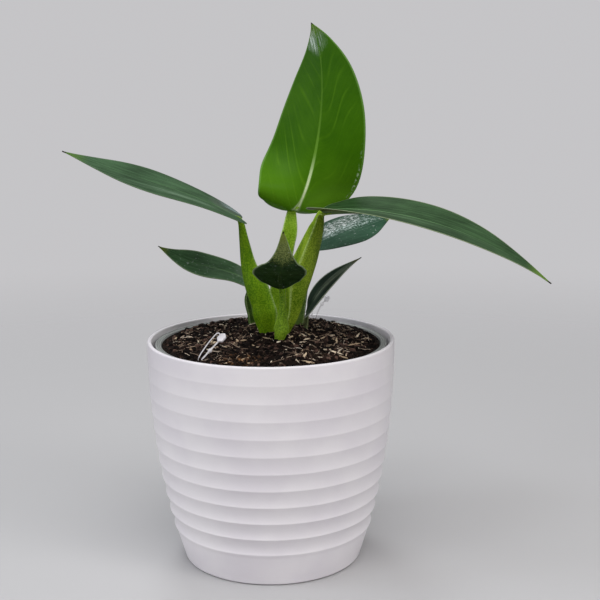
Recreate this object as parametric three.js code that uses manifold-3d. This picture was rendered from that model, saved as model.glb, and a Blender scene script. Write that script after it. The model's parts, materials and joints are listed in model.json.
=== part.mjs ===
// A potted Philodendron martianum. Seven leaves on swollen stalks stand in peat, which fills a
// grower's pot inside a ribbed white cover pot.
// Millimetres, +Z up. The origin is the centre of the cover pot's underside, the viewer stands
// on the -Y side and +X is to the viewer's right.

import * as THREE from 'three';
import { mergeVertices } from 'three/addons/utils/BufferGeometryUtils.js';
import Module from 'manifold-3d';

const wasm = await Module();
wasm.setup();

// Cover pot
const RIM_RADIUS = 70;
const POT_HEIGHT = 127.5;
const FOOT_INSET = 19.1;
const WALL_CURVE = 2.15;
const POT_WALL = 3.2;
const POT_FLOOR = 3;
const RIM_ROUND = 1.2;
const RIB_COUNT = 11;
const TOP_RIB_Z = 117.3;
const RIB_PITCH = 9.75;
const FLUTE_DEPTH = 0.9;
const FLUTE_STEPS = 3;
const BAND_OFFSET = 3;
const FOOT_CORNER = { inset: 1.5, ease: 0.4, rise: 0.5, top: 2 };
const LIP_STEPS = 4;
const INNER_HEIGHTS = [118, 95, 72, 49, 26, 10];
const FLOOR_CORNER = 2;
const POT_SEGMENTS = 40;

// Grower's pot
const GAP = 0.3;
const GROWER_FOOT_RADIUS = 46;
const GROWER_MOUTH_RADIUS = 62.2;
const GROWER_TOP_Z = 125.5;
const GROWER_WALL = 1;
const FLANGE_RADIUS = 65.6;
const FLANGE_DROP = 6.5;
const GROWER_CORNER = 1;
const FLANGE_CORNER = 0.4;
const GROWER_MIDDLE_Z = 60;
const DRAIN_COUNT = 6;
const DRAIN_RADIUS = 3.5;
const DRAIN_CIRCLE = 30;
const DRAIN_SEGMENTS = 12;
const GROWER_SEGMENTS = 48;

// Peat
const SOIL_EDGE_Z = 124.4;
const SOIL_RISE = 4.7;
const SOIL_SHOULDER = 0.7;
const SOIL_RINGS = 12;
const SOIL_FOOT_CORNER = 0.5;
const LUMP = { rise: 0.48, x: 0.43, y: 0.39 };
const CRUMB = { rise: 0.4, x: 1.1, y: 0.9 };
const CALM_SHARE = 8;
const STALK_HOLE_GAP = 0.5;
const HEAPS = [
  { x: 4, y: 2, rise: 2.5, reach: 20 },
  { x: 20, y: 38, rise: 2, reach: 13 },
  { x: -20, y: 42, rise: 1.8, reach: 12 },
];

// Crown
const CROWN_CENTRE = [3.7, -3.3];
const CROWN_TOP = 119.7;
const CROWN_BOTTOM = 88;
const CROWN_RADIUS = 12;
const CROWN_TIP_RADIUS = 7;
const CROWN_SEGMENTS = 16;

// Leaves
const BLADE_THICKNESS = 0.8;
const ROW_CROWDING = 1.5;
const FOLD_FADE = 0.5;
const KEEL_SIDES = 6;
const KEEL_SHARE = 0.38;
const KEEL_TIP_RADIUS = 0.45;
const KEEL_TAPER = 2;
const KEEL_SINK = 0.6;
const KEEL_END = 0.93;
const KEEL_CROWDING = 1.3;
const NECK_DROP = 0.45;
const NECK_BACK = 0.5;
const STALK_ARC_SIDES = 8;
const STALK_LATERAL = 0.5;
const STALK_BACK = 0.41;
const STALK_FLAT = 0.39;
const STALK_GROOVE = 0.05;
const GROOVE_STATIONS = [-0.5, 0, 0.5];

// Half a blade's outline: the place along the midrib and the part of the half width there.
const OUTLINE = [
  [0, 0], [-0.03, 0.22], [-0.025, 0.55], [0.03, 0.84], [0.13, 0.97], [0.27, 1],
  [0.44, 0.98], [0.6, 0.88], [0.75, 0.64], [0.88, 0.3], [0.96, 0.085], [1, 0],
];

// The front leaf narrows to its neck and has a long point.
const FRONT_OUTLINE = [
  [0, 0], [0.02, 0.3], [0.06, 0.55], [0.1, 0.77], [0.21, 0.95], [0.31, 0.97],
  [0.48, 0.92], [0.62, 0.76], [0.69, 0.56], [0.84, 0.29], [0.945, 0.12], [1, 0],
];

// Each leaf: its stalk as x, y, z and width from the soil to below the neck, and the way that
// the stalk's flat side looks; its midrib as the four points of a Bezier curve, which starts at
// the neck; the way that the blade's upper side looks at the neck and at the tip; its half width;
// and how many degrees each half rises from the midrib.
const LEAVES = {
  left: {
    stalk: [
      [-0.9, -2.5, 120, 6], [-2.7, -3.5, 131, 9.4], [-4.3, -3, 141, 14.4], [-5.8, -3, 148, 13.8],
      [-9.3, -3, 158.5, 13.2], [-12.9, -2.5, 170, 9], [-15, -2.3, 184, 5.5],
    ],
    stalkFace: [0.85, 0.5, 0.2],
    rib: [[-17.3, -2.4, 196.3], [-49.1, -8.4, 214.4], [-59.3, -13.7, 214.4], [-110, -20.5, 234.8]],
    face: [[-0.06, -0.08, 0.99], [-0.13, -0.31, 0.94]],
    halfWidth: 25.9,
    fold: 2,
    neckWidth: 3.3,
    rows: 14,
    columns: 4,
  },
  upright: {
    stalk: [
      [3.5, 7, 120, 6], [4.4, 9.5, 131, 9.5], [3.7, 11, 150, 10], [8.4, 11.5, 176.5, 9.3],
      [10.8, 11.7, 187, 8.6],
    ],
    stalkFace: [0.2, -1, 0.2],
    rib: [[13.8, 12, 198], [22.7, -1.2, 205.5], [39.1, 20.5, 272.5], [24.9, 41.1, 303.5]],
    face: [[-0.25, -0.01, -0.97], [-0.14, -0.92, -0.36]],
    halfWidth: 27.6,
    fold: -9.2,
    neckWidth: 4.6,
    rows: 14,
    columns: 4,
  },
  right: {
    stalk: [
      [7.7, -4, 120, 6], [7.6, -5, 131, 7], [12.4, -5, 142, 9], [15.8, -5.6, 161, 16.2],
      [20.5, -7.6, 174, 14.4], [24.9, -10.1, 187.5, 10.4], [26.6, -10.8, 193, 8],
    ],
    stalkFace: [-1, -0.2, 0.25],
    rib: [[30.4, -11.4, 201.1], [50.7, -23.7, 203.7], [99, -42.6, 203.2], [147.2, -48.9, 165.6]],
    face: [[0.09, -0.04, 1], [-0.06, -0.15, 0.99]],
    halfWidth: 27.3,
    fold: 9,
    neckWidth: 4.6,
    rows: 14,
    columns: 4,
  },
  front: {
    stalk: [
      [4.8, -12, 120, 6], [5.1, -17.3, 131.5, 6.6], [5.8, -17.7, 135, 8.6], [6.1, -17.8, 139.5, 7],
      [6.5, -18, 145.4, 4.7], [6.5, -18, 151, 3],
    ],
    stalkFace: [0, 1, 0.1],
    outline: FRONT_OUTLINE,
    rib: [[5.9, -17.9, 158.3], [2.6, -43, 178.4], [7.4, -58.3, 166.2], [6.5, -74, 198.1]],
    face: [[0.03, 0.45, 0.9], [0.04, 0.46, 0.89]],
    halfWidth: 14.6,
    fold: 7.5,
    neckWidth: 2.6,
    rows: 12,
    columns: 3,
  },
  small_left: {
    stalk: [
      [-8.3, 26, 118, 4.1], [-11.4, 29, 129, 4.2], [-12, 28.5, 135, 4.9], [-13.5, 27.2, 144, 5.1],
    ],
    stalkFace: [0.6, -0.8, 0.2],
    rib: [[-12.4, 26, 154.6], [-31, 25.1, 167.4], [-38.9, 15.2, 161.7], [-63.8, 12.1, 178.7]],
    face: [[0.01, -0.2, 0.98], [-0.02, -0.65, 0.76]],
    halfWidth: 13.7,
    fold: 5.5,
    neckWidth: 3,
    rows: 12,
    columns: 3,
  },
  back_right: {
    stalk: [
      [15, 24, 118, 5], [17, 25, 131, 6], [18.5, 26, 142, 6], [21, 27, 157, 5],
    ],
    stalkFace: [-0.4, -1, 0.2],
    rib: [[26.3, 28.1, 174.2], [31.2, 27.1, 180.3], [53.1, 36.2, 184.7], [72.8, 41.3, 191.2]],
    face: [[0.09, -0.02, 1], [-0.01, -0.5, 0.86]],
    halfWidth: 19.1,
    fold: 5,
    neckWidth: 3,
    rows: 12,
    columns: 3,
  },
  small_right: {
    stalk: [
      [18.6, 10, 118, 2.6], [20, 11, 128, 2.7], [20.8, 11.7, 134, 2.5],
    ],
    stalkFace: [-0.7, -0.7, 0.1],
    rib: [[20.8, 11.5, 138.8], [23.5, 9.7, 144.2], [26.7, 6.8, 157], [51.6, 4.1, 172.3]],
    face: [[-0.17, -0.23, 0.96], [-0.1, -0.48, 0.87]],
    halfWidth: 8.8,
    fold: 5,
    neckWidth: 2,
    rows: 10,
    columns: 3,
  },
};

// Loop fasteners: the bead's strand runs from the peat to the flat head, and a thin strand
// returns from the head to the peat.
const STRAND_RADIUS = 0.45;
const BEAD_RADIUS = 1.2;
const BEAD_SEGMENTS = [8, 6];
const STRAND_STEPS = 9;
const STRAND_CURVE_SEGMENTS = 3;
const TAG_LOOPS = {
  front: {
    strand: [[-38, -44.6, 118.5], [-37.4, -44.6, 124.6], [-34.4, -43.3, 128.4], [-27.4, -39.8, 135.3]],
    bead: [-32.5, -42.4, 130.2],
    head: [-26.4, -39.3, 136.4],
    headSize: [4.6, 5.6, 1.5],
    back: [
      [-28.3, -38.1, 138.8], [-31.7, -39.6, 135.9], [-35.6, -41.9, 131.2], [-38.6, -43.8, 126.2],
      [-39, -44, 118.5],
    ],
  },
  back: {
    strand: [[28, 41, 119], [27.5, 40, 130], [29.5, 39, 136.5], [33, 38, 141.5]],
    bead: [31, 38.6, 138.5],
    head: [33.8, 37.8, 142],
    headSize: [3.2, 4.2, 1.3],
    back: [
      [32.6, 38.3, 143.2], [29, 39, 140.2], [26.9, 40, 138], [25, 41.5, 133], [24.7, 42.5, 119],
    ],
  },
};

function vec(point) {
  return new THREE.Vector3(point[0], point[1], point[2]);
}

// Closed bodies and joins

function toSolid(geometry) {
  const plain = geometry.clone();
  plain.deleteAttribute('normal');
  plain.deleteAttribute('uv');
  const merged = mergeVertices(plain, 1e-4);
  return new wasm.Manifold(new wasm.Mesh({
    numProp: 3,
    vertProperties: Float32Array.from(merged.attributes.position.array),
    triVerts: Uint32Array.from(merged.index.array),
  }));
}

function toGeometry(solid) {
  const mesh = solid.getMesh();
  const geometry = new THREE.BufferGeometry();
  geometry.setAttribute('position', new THREE.BufferAttribute(mesh.vertProperties, 3));
  geometry.setIndex(new THREE.BufferAttribute(mesh.triVerts, 1));
  geometry.computeVertexNormals();
  return geometry;
}

// The largest of the pieces that a cut leaves.
function largestPiece(solid) {
  const pieces = solid.decompose();
  return pieces.reduce((best, piece) => (piece.volume() > best.volume() ? piece : best));
}

function indexedGeometry(points, triangles) {
  const geometry = new THREE.BufferGeometry();
  geometry.setFromPoints(points);
  geometry.setIndex(triangles);
  return geometry;
}

// A closed skin through rings of equal count, each a list of points that turns anticlockwise
// seen from the far end. Both ends close on the middle of their ring.
function skinRings(rings) {
  const count = rings[0].length;
  const points = rings.flat();
  const triangles = [];
  for (let i = 0; i < rings.length - 1; i += 1) {
    for (let j = 0; j < count; j += 1) {
      const a = i * count + j;
      const b = i * count + (j + 1) % count;
      triangles.push(a, b, b + count, a, b + count, a + count);
    }
  }
  for (const [ring, start, turn] of [[rings[0], 0, -1], [rings.at(-1), points.length - count, 1]]) {
    const middle = points.length;
    const centre = new THREE.Vector3();
    ring.forEach((point) => centre.addScaledVector(point, 1 / count));
    points.push(centre);
    for (let j = 0; j < count; j += 1) {
      const a = start + j;
      const b = start + (j + 1) % count;
      triangles.push(middle, turn > 0 ? a : b, turn > 0 ? b : a);
    }
  }
  return indexedGeometry(points, triangles);
}

// A direction made square to a tangent.
function squareTo(direction, tangent) {
  return direction.clone().addScaledVector(tangent, -direction.dot(tangent)).normalize();
}

// Pots

function wallRadius(z) {
  return RIM_RADIUS - FOOT_INSET * (1 - z / POT_HEIGHT) ** WALL_CURVE;
}

function coverPotProfile() {
  const { inset, ease, rise, top } = FOOT_CORNER;
  const foot = wallRadius(0);
  const profile = [[0, 0], [foot - inset, 0], [foot - ease, rise], [wallRadius(top), top]];
  const bottomRibZ = TOP_RIB_Z - (RIB_COUNT - 1) * RIB_PITCH;
  profile.push([wallRadius(bottomRibZ - BAND_OFFSET), bottomRibZ - BAND_OFFSET]);
  for (let rib = 0; rib < RIB_COUNT; rib += 1) {
    const steps = rib < RIB_COUNT - 1 ? FLUTE_STEPS : 1;
    for (let step = 0; step < steps; step += 1) {
      const across = step / FLUTE_STEPS;
      const z = bottomRibZ + (rib + across) * RIB_PITCH;
      const hollow = 4 * across * (1 - across);
      profile.push([wallRadius(z) + FLUTE_DEPTH * (0.5 - hollow), z]);
    }
  }
  profile.push([wallRadius(TOP_RIB_Z + BAND_OFFSET), TOP_RIB_Z + BAND_OFFSET]);
  const lip = RIM_RADIUS - RIM_ROUND;
  for (let step = 0; step <= LIP_STEPS; step += 1) {
    const angle = (step * Math.PI) / LIP_STEPS;
    profile.push([
      lip + RIM_ROUND * Math.cos(angle),
      POT_HEIGHT - RIM_ROUND + RIM_ROUND * Math.sin(angle),
    ]);
  }
  INNER_HEIGHTS.forEach((z) => profile.push([wallRadius(z) - POT_WALL, z]));
  profile.push([wallRadius(POT_FLOOR) - POT_WALL - FLOOR_CORNER, POT_FLOOR], [0, POT_FLOOR]);
  return profile;
}

function lathe(profile, segments) {
  return new THREE.LatheGeometry(profile.map(([r, z]) => new THREE.Vector2(r, z)), segments)
    .rotateX(Math.PI / 2);
}

function coverPotGeometry() {
  return toGeometry(toSolid(lathe(coverPotProfile(), POT_SEGMENTS)));
}

// The grower's pot stands just clear of the cover pot's floor.
const GROWER_FOOT_Z = POT_FLOOR + GAP;

function growerRadius(z) {
  const rise = (z - GROWER_FOOT_Z) / (GROWER_TOP_Z - GROWER_FOOT_Z);
  const inner = GROWER_FOOT_RADIUS - GROWER_WALL;
  return inner + (GROWER_MOUTH_RADIUS - inner) * rise;
}

function growerPotGeometry() {
  const skirtZ = GROWER_TOP_Z - FLANGE_DROP;
  const floorZ = GROWER_FOOT_Z + GROWER_WALL;
  const underFlangeZ = GROWER_TOP_Z - GROWER_WALL;
  const profile = [
    [0, GROWER_FOOT_Z],
    [GROWER_FOOT_RADIUS - GROWER_CORNER, GROWER_FOOT_Z],
    [GROWER_FOOT_RADIUS, GROWER_FOOT_Z + GROWER_CORNER],
    [growerRadius(GROWER_MIDDLE_Z) + GROWER_WALL, GROWER_MIDDLE_Z],
    [growerRadius(underFlangeZ) + GROWER_WALL, underFlangeZ],
    [FLANGE_RADIUS - GROWER_WALL, underFlangeZ],
    [FLANGE_RADIUS - GROWER_WALL, skirtZ],
    [FLANGE_RADIUS, skirtZ],
    [FLANGE_RADIUS, GROWER_TOP_Z - FLANGE_CORNER],
    [FLANGE_RADIUS - FLANGE_CORNER, GROWER_TOP_Z],
    [GROWER_MOUTH_RADIUS, GROWER_TOP_Z],
    [growerRadius(GROWER_MIDDLE_Z), GROWER_MIDDLE_Z],
    [growerRadius(floorZ), floorZ],
    [0, floorZ],
  ];
  let pot = toSolid(lathe(profile, GROWER_SEGMENTS));
  for (let i = 0; i < DRAIN_COUNT; i += 1) {
    const angle = (i * 2 * Math.PI) / DRAIN_COUNT;
    const drill = new THREE.CylinderGeometry(DRAIN_RADIUS, DRAIN_RADIUS, 4 * GROWER_WALL, DRAIN_SEGMENTS)
      .rotateX(Math.PI / 2)
      .translate(DRAIN_CIRCLE * Math.cos(angle), DRAIN_CIRCLE * Math.sin(angle), floorZ);
    pot = pot.subtract(toSolid(drill));
  }
  return toGeometry(pot);
}

// Leaves

function ribPoint(leaf, along) {
  return leaf.curve.getPoint(Math.min(Math.max(along, 0), 1));
}

// The midrib's frame at a station: its point, tangent, the way the upper side looks and the
// way the right half runs. Stations below 0 lie behind the neck on the straight line.
function ribFrame(leaf, along) {
  const held = Math.min(Math.max(along, 0), 1);
  const tangent = leaf.curve.getTangent(held).normalize();
  const origin = ribPoint(leaf, held);
  if (along < 0) origin.addScaledVector(tangent, along * leaf.length);
  const looks = vec(leaf.face[0]).lerp(vec(leaf.face[1]), held);
  const up = squareTo(looks, tangent);
  const side = tangent.clone().cross(up);
  return { origin, tangent, up, side };
}

function bladePoint(leaf, along, across) {
  const frame = ribFrame(leaf, along);
  const slope = Math.tan(THREE.MathUtils.degToRad(leaf.fold));
  const fade = 1 - FOLD_FADE * Math.min(Math.max(along, 0), 1);
  return frame.origin
    .addScaledVector(frame.side, across)
    .addScaledVector(frame.up, Math.abs(across) * slope * fade);
}

// Rows run from the neck to the tip and columns from margin to margin. The first and last rows
// are single points.
function bladeGrid(leaf) {
  const outline = new THREE.SplineCurve((leaf.outline ?? OUTLINE).map(([s, w]) => new THREE.Vector2(s, w)));
  const rows = [];
  for (let i = 0; i <= leaf.rows; i += 1) {
    const t = i / leaf.rows;
    const edge = outline.getPoint(t);
    const middle = t ** ROW_CROWDING;
    const row = [];
    for (let j = -leaf.columns; j <= leaf.columns; j += 1) {
      const out = Math.abs(j) / leaf.columns;
      const along = middle * (1 - out) + edge.x * out;
      row.push(bladePoint(leaf, along, (j / leaf.columns) * edge.y * leaf.halfWidth));
    }
    rows.push(row);
  }
  return rows;
}

function gridNormal(rows, i, j) {
  const last = rows[0].length - 1;
  const row = Math.min(Math.max(i, 1), rows.length - 2);
  const across = rows[row][Math.min(j + 1, last)].clone().sub(rows[row][Math.max(j - 1, 0)]);
  const along = rows[row + 1][j].clone().sub(rows[row - 1][j]);
  return across.cross(along).normalize();
}

// A thin plate with both faces split into the same triangles.
function laminaGeometry(leaf) {
  const rows = bladeGrid(leaf);
  const width = rows[0].length;
  const points = [];
  for (const half of [BLADE_THICKNESS / 2, -BLADE_THICKNESS / 2]) {
    rows.forEach((row, i) => row.forEach((point, j) => {
      points.push(point.clone().addScaledVector(gridNormal(rows, i, j), half));
    }));
  }
  // All points of an end row are one point, so they take one normal, that of the middle column.
  const middle = leaf.columns;
  for (const row of [0, rows.length - 1]) {
    for (const layer of [0, 1]) {
      const start = layer * rows.length * width + row * width;
      for (let j = 0; j < width; j += 1) points[start + j] = points[start + middle].clone();
    }
  }
  const triangles = [];
  const layerSize = rows.length * width;
  const addBoth = (a, b, c) => {
    triangles.push(a, b, c, a + layerSize, c + layerSize, b + layerSize);
  };
  for (let i = 0; i < rows.length - 1; i += 1) {
    for (let j = 0; j < width - 1; j += 1) {
      const a = i * width + j;
      const b = a + 1;
      const c = a + width;
      const d = c + 1;
      const onLeft = j < middle;
      if (i === 0) addBoth(a, d, c);
      else if (i === rows.length - 2) addBoth(a, b, c);
      else if (onLeft) {
        addBoth(a, b, d);
        addBoth(a, d, c);
      } else {
        addBoth(a, b, c);
        addBoth(b, d, c);
      }
    }
    const left = i * width;
    const right = left + width - 1;
    triangles.push(left, left + width, left + layerSize);
    triangles.push(left + width, left + width + layerSize, left + layerSize);
    triangles.push(right, right + layerSize, right + width);
    triangles.push(right + width, right + layerSize, right + width + layerSize);
  }
  return indexedGeometry(points, triangles);
}

// The midrib stands out below the blade and thins towards the tip.
function keelGeometry(leaf) {
  const rings = [];
  const steps = leaf.rows;
  const neckRadius = KEEL_SHARE * leaf.neckWidth;
  for (let i = 0; i <= steps; i += 1) {
    const along = KEEL_END * (i / steps) ** KEEL_CROWDING;
    const frame = ribFrame(leaf, along);
    const radius = KEEL_TIP_RADIUS + (neckRadius - KEEL_TIP_RADIUS) * (1 - along) ** KEEL_TAPER;
    const centre = frame.origin.clone().addScaledVector(frame.up, -KEEL_SINK * radius);
    const ring = [];
    for (let k = 0; k < KEEL_SIDES; k += 1) {
      const angle = (k * 2 * Math.PI) / KEEL_SIDES;
      ring.push(centre.clone()
        .addScaledVector(frame.side, radius * Math.cos(angle))
        .addScaledVector(frame.up, -radius * Math.sin(angle)));
    }
    rings.push(ring);
  }
  return skinRings(rings);
}

// A stalk: round at the back, nearly flat in front, swollen in the middle, bent at the top into
// the line of the midrib. A grown stalk cuts the hole that it stands in.
function stalkGeometry(leaf, grow) {
  const neck = ribFrame(leaf, 0);
  const bend = neck.origin.clone()
    .addScaledVector(neck.up, -NECK_DROP * leaf.neckWidth)
    .addScaledVector(neck.tangent, -NECK_BACK * leaf.neckWidth);
  const stations = leaf.stalk.map(([x, y, z, width]) => new THREE.Vector4(x, y, z, width));
  stations.push(new THREE.Vector4(bend.x, bend.y, bend.z, leaf.neckWidth));
  const path = new THREE.CatmullRomCurve3(stations.map((s) => new THREE.Vector3(s.x, s.y, s.z)));
  path.curveType = 'catmullrom';
  const widths = new THREE.SplineCurve(stations.map((s, i) => new THREE.Vector2(i, s.w)));
  const rings = [];
  const steps = 2 * (stations.length - 1);
  for (let i = 0; i <= steps; i += 1) {
    const t = i / steps;
    const centre = path.getPoint(t);
    const width = widths.getPoint(t).y + 2 * grow;
    const tangent = i === 0 ? new THREE.Vector3(0, 0, 1) : path.getTangent(t).normalize();
    if (i === 0) centre.addScaledVector(tangent, -grow);
    if (i === steps) centre.addScaledVector(tangent, grow);
    const flat = squareTo(vec(leaf.stalkFace), tangent);
    const side = tangent.clone().cross(flat);
    const ring = [];
    for (let k = 0; k <= STALK_ARC_SIDES; k += 1) {
      const angle = (k * Math.PI) / STALK_ARC_SIDES;
      ring.push(centre.clone()
        .addScaledVector(side, width * STALK_LATERAL * Math.cos(angle))
        .addScaledVector(flat, width * (STALK_FLAT - (STALK_FLAT + STALK_BACK) * Math.sin(angle))));
    }
    for (const lateral of GROOVE_STATIONS) {
      ring.push(centre.clone()
        .addScaledVector(side, width * STALK_LATERAL * lateral)
        .addScaledVector(flat, width * (STALK_FLAT - STALK_GROOVE * (1 - Math.abs(lateral)))));
    }
    rings.push(ring);
  }
  return skinRings(rings);
}

function bladeGeometry(leaf) {
  const blade = toSolid(laminaGeometry(leaf)).add(toSolid(keelGeometry(leaf)));
  const room = toSolid(stalkGeometry(leaf, GAP));
  return toGeometry(largestPiece(blade.subtract(room)));
}

// Crown

function crownGeometry(grow) {
  const height = CROWN_TOP - CROWN_BOTTOM + 2 * grow;
  const [top, bottom] = [CROWN_RADIUS + grow, CROWN_TIP_RADIUS + grow];
  return new THREE.CylinderGeometry(top, bottom, height, CROWN_SEGMENTS, 1)
    .rotateX(Math.PI / 2)
    .translate(CROWN_CENTRE[0], CROWN_CENTRE[1], (CROWN_TOP + CROWN_BOTTOM) / 2);
}

// Loop fasteners

function strandGeometry(points, radius) {
  const section = new THREE.Shape();
  section.absarc(0, 0, radius, 0, 2 * Math.PI);
  const path = new THREE.CatmullRomCurve3(points.map(vec));
  return new THREE.ExtrudeGeometry(section, {
    extrudePath: path,
    steps: STRAND_STEPS,
    curveSegments: STRAND_CURVE_SEGMENTS,
  });
}

function tagLoopGeometry(tag) {
  const strand = new THREE.CatmullRomCurve3(tag.strand.map(vec));
  const along = strand.getTangent(1).normalize();
  const bead = new THREE.SphereGeometry(BEAD_RADIUS, ...BEAD_SEGMENTS).translate(...tag.bead);
  const head = new THREE.BoxGeometry(...tag.headSize);
  head.applyQuaternion(new THREE.Quaternion().setFromUnitVectors(new THREE.Vector3(0, 1, 0), along));
  head.translate(...tag.head);
  return toSolid(strandGeometry(tag.strand, STRAND_RADIUS))
    .add(toSolid(strandGeometry([tag.head, ...tag.back], STRAND_RADIUS)))
    .add(toSolid(bead))
    .add(toSolid(head));
}

// Peat

function heapRise(heap, x, y) {
  const squared = (x - heap.x) ** 2 + (y - heap.y) ** 2;
  return heap.rise * Math.exp(-squared / heap.reach ** 2);
}

// Lumps and crumbs as a steady pattern of bumps.
function reliefRise(x, y) {
  const lump = Math.sin(LUMP.x * x + Math.sin(LUMP.y * y)) * Math.sin(LUMP.y * y + Math.sin(LUMP.x * x));
  const crumb = Math.sin(CRUMB.x * x - CRUMB.y * y) * Math.sin(CRUMB.x * x + CRUMB.y * y);
  return LUMP.rise * lump + CRUMB.rise * crumb;
}

// The relief calms down to nothing at the pot's wall.
function soilHeight(x, y) {
  const out = Math.min(Math.hypot(x, y) / GROWER_MOUTH_RADIUS, 1);
  const mound = SOIL_RISE * (1 - out ** 2) ** SOIL_SHOULDER;
  const relief = reliefRise(x, y) * Math.min(1, CALM_SHARE * (1 - out));
  const heaped = HEAPS.reduce((rise, heap) => rise + heapRise(heap, x, y), 0);
  return SOIL_EDGE_Z + mound + heaped + relief;
}

function soilGeometry() {
  const floorZ = GROWER_FOOT_Z + GROWER_WALL + GAP;
  const edge = growerRadius(SOIL_EDGE_Z) - GAP;
  const ringAt = (radius, height) => {
    const ring = [];
    for (let k = 0; k < GROWER_SEGMENTS; k += 1) {
      const angle = (k * 2 * Math.PI) / GROWER_SEGMENTS;
      const x = radius * Math.cos(angle);
      const y = radius * Math.sin(angle);
      ring.push(new THREE.Vector3(x, y, height ?? soilHeight(x, y)));
    }
    return ring;
  };
  const foot = growerRadius(floorZ) - GAP - SOIL_FOOT_CORNER;
  const rings = [ringAt(foot, floorZ), ringAt(edge, SOIL_EDGE_Z)];
  for (let i = 1; i < SOIL_RINGS; i += 1) rings.push(ringAt(edge * (1 - i / SOIL_RINGS)));
  return skinRings(rings);
}

// Assembly

function material(color, roughness, extra = {}) {
  return new THREE.MeshStandardMaterial({ color, roughness, metalness: 0, ...extra });
}

const group = new THREE.Group();

function addPiece(name, geometry, finish) {
  const mesh = new THREE.Mesh(geometry, finish);
  mesh.name = name;
  group.add(mesh);
}

addPiece('cover_pot', coverPotGeometry(), material(0xe4e2e6, 0.4));
addPiece('nursery_pot', growerPotGeometry(), material(0xb9c0b8, 0.5));

let soil = toSolid(soilGeometry()).subtract(toSolid(crownGeometry(GAP)));
addPiece('crown', toGeometry(toSolid(crownGeometry(0))), material(0x7d8a45, 0.6));

for (const [name, leaf] of Object.entries(LEAVES)) {
  leaf.curve = new THREE.CubicBezierCurve3(...leaf.rib.map(vec));
  leaf.length = leaf.curve.getLength();
  addPiece(`stalk_${name}`, stalkGeometry(leaf, 0), material(0x8fb04a, 0.5));
  addPiece(`blade_${name}`, bladeGeometry(leaf), material(0x2f6b2c, 0.35));
  soil = soil.subtract(toSolid(stalkGeometry(leaf, STALK_HOLE_GAP)));
}

for (const [name, tag] of Object.entries(TAG_LOOPS)) {
  const clear = material(0xd8d8dc, 0.3, { transparent: true, opacity: 0.7 });
  addPiece(`tag_loop_${name}`, toGeometry(tagLoopGeometry(tag)), clear);
  for (const strand of [tag.strand, [tag.head, ...tag.back].reverse()]) {
    const room = STRAND_RADIUS + GAP;
    const foot = new THREE.SphereGeometry(room, ...BEAD_SEGMENTS).translate(...strand[0]);
    soil = soil.subtract(toSolid(strandGeometry(strand, room)).add(toSolid(foot)));
  }
}

addPiece('soil', toGeometry(largestPiece(soil)), material(0x2b211c, 0.95));

export default group;
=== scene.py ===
# %% [markdown]
# # A potted Philodendron martianum
#
# This lesson dresses a packed model of a young house plant: seven leaves on swollen stalks, the
# peat they stand in, the grower's pot round the peat and a ribbed white cover pot outside.
# The packed model is the frame. It says where everything is, and nothing here moves it. Each
# finished piece stands for one or more of the frame's nodes and keeps their form.

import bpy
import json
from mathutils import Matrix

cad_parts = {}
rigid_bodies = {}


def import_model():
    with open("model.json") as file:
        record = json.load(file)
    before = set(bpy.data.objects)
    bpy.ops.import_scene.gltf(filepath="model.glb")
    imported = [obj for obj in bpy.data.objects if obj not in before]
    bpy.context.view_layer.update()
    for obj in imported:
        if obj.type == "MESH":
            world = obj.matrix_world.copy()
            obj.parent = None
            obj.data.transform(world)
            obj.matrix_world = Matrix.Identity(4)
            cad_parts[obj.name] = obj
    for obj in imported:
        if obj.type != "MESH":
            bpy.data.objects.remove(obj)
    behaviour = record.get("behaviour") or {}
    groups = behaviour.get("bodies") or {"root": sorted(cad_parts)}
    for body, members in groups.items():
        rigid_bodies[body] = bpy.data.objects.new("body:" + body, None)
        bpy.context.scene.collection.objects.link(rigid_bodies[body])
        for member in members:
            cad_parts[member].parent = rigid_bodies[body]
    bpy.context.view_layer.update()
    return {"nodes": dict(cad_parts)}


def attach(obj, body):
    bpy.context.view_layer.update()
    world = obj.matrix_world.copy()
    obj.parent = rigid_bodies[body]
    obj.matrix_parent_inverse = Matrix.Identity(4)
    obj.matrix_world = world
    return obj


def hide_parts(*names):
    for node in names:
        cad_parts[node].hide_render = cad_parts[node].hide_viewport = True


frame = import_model()

# %% [markdown]
# ## Tools and units
#
# The frame is in metres, but pots and leaves are easier to think of in millimetres. So shapes
# are worked out in millimetres and scaled once, where a mesh is made. Blender's default view
# transform would turn the white pot grey, so the plain one is chosen.

# %% Imports and units
import json
import math
import random
from types import SimpleNamespace

import bmesh
import bpy
import numpy as np
from mathutils import Matrix, Vector, noise

MM = 0.001
scene = bpy.context.scene
scene.view_settings.view_transform = "Standard"
print("one millimetre is", MM, "m")

# %% [markdown]
# ## The camera
#
# The camera is set first, so that each new piece can be judged from the same place. It could
# follow a target with a constraint, but plain angles say at once where it looks: from a little
# above the pot's rim, 11 degrees down, through a long lens. The frame is square.

# %% Camera
CAMERA_PLACE = Vector((0.0, -0.6387, 0.27325))
CAMERA_DOWN = math.radians(11.017)
CAMERA_TURN = math.radians(1.487)
CAMERA_ROLL = math.radians(-0.332)
CAMERA_LENS = 69.0
SENSOR_WIDTH = 36.0


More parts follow.
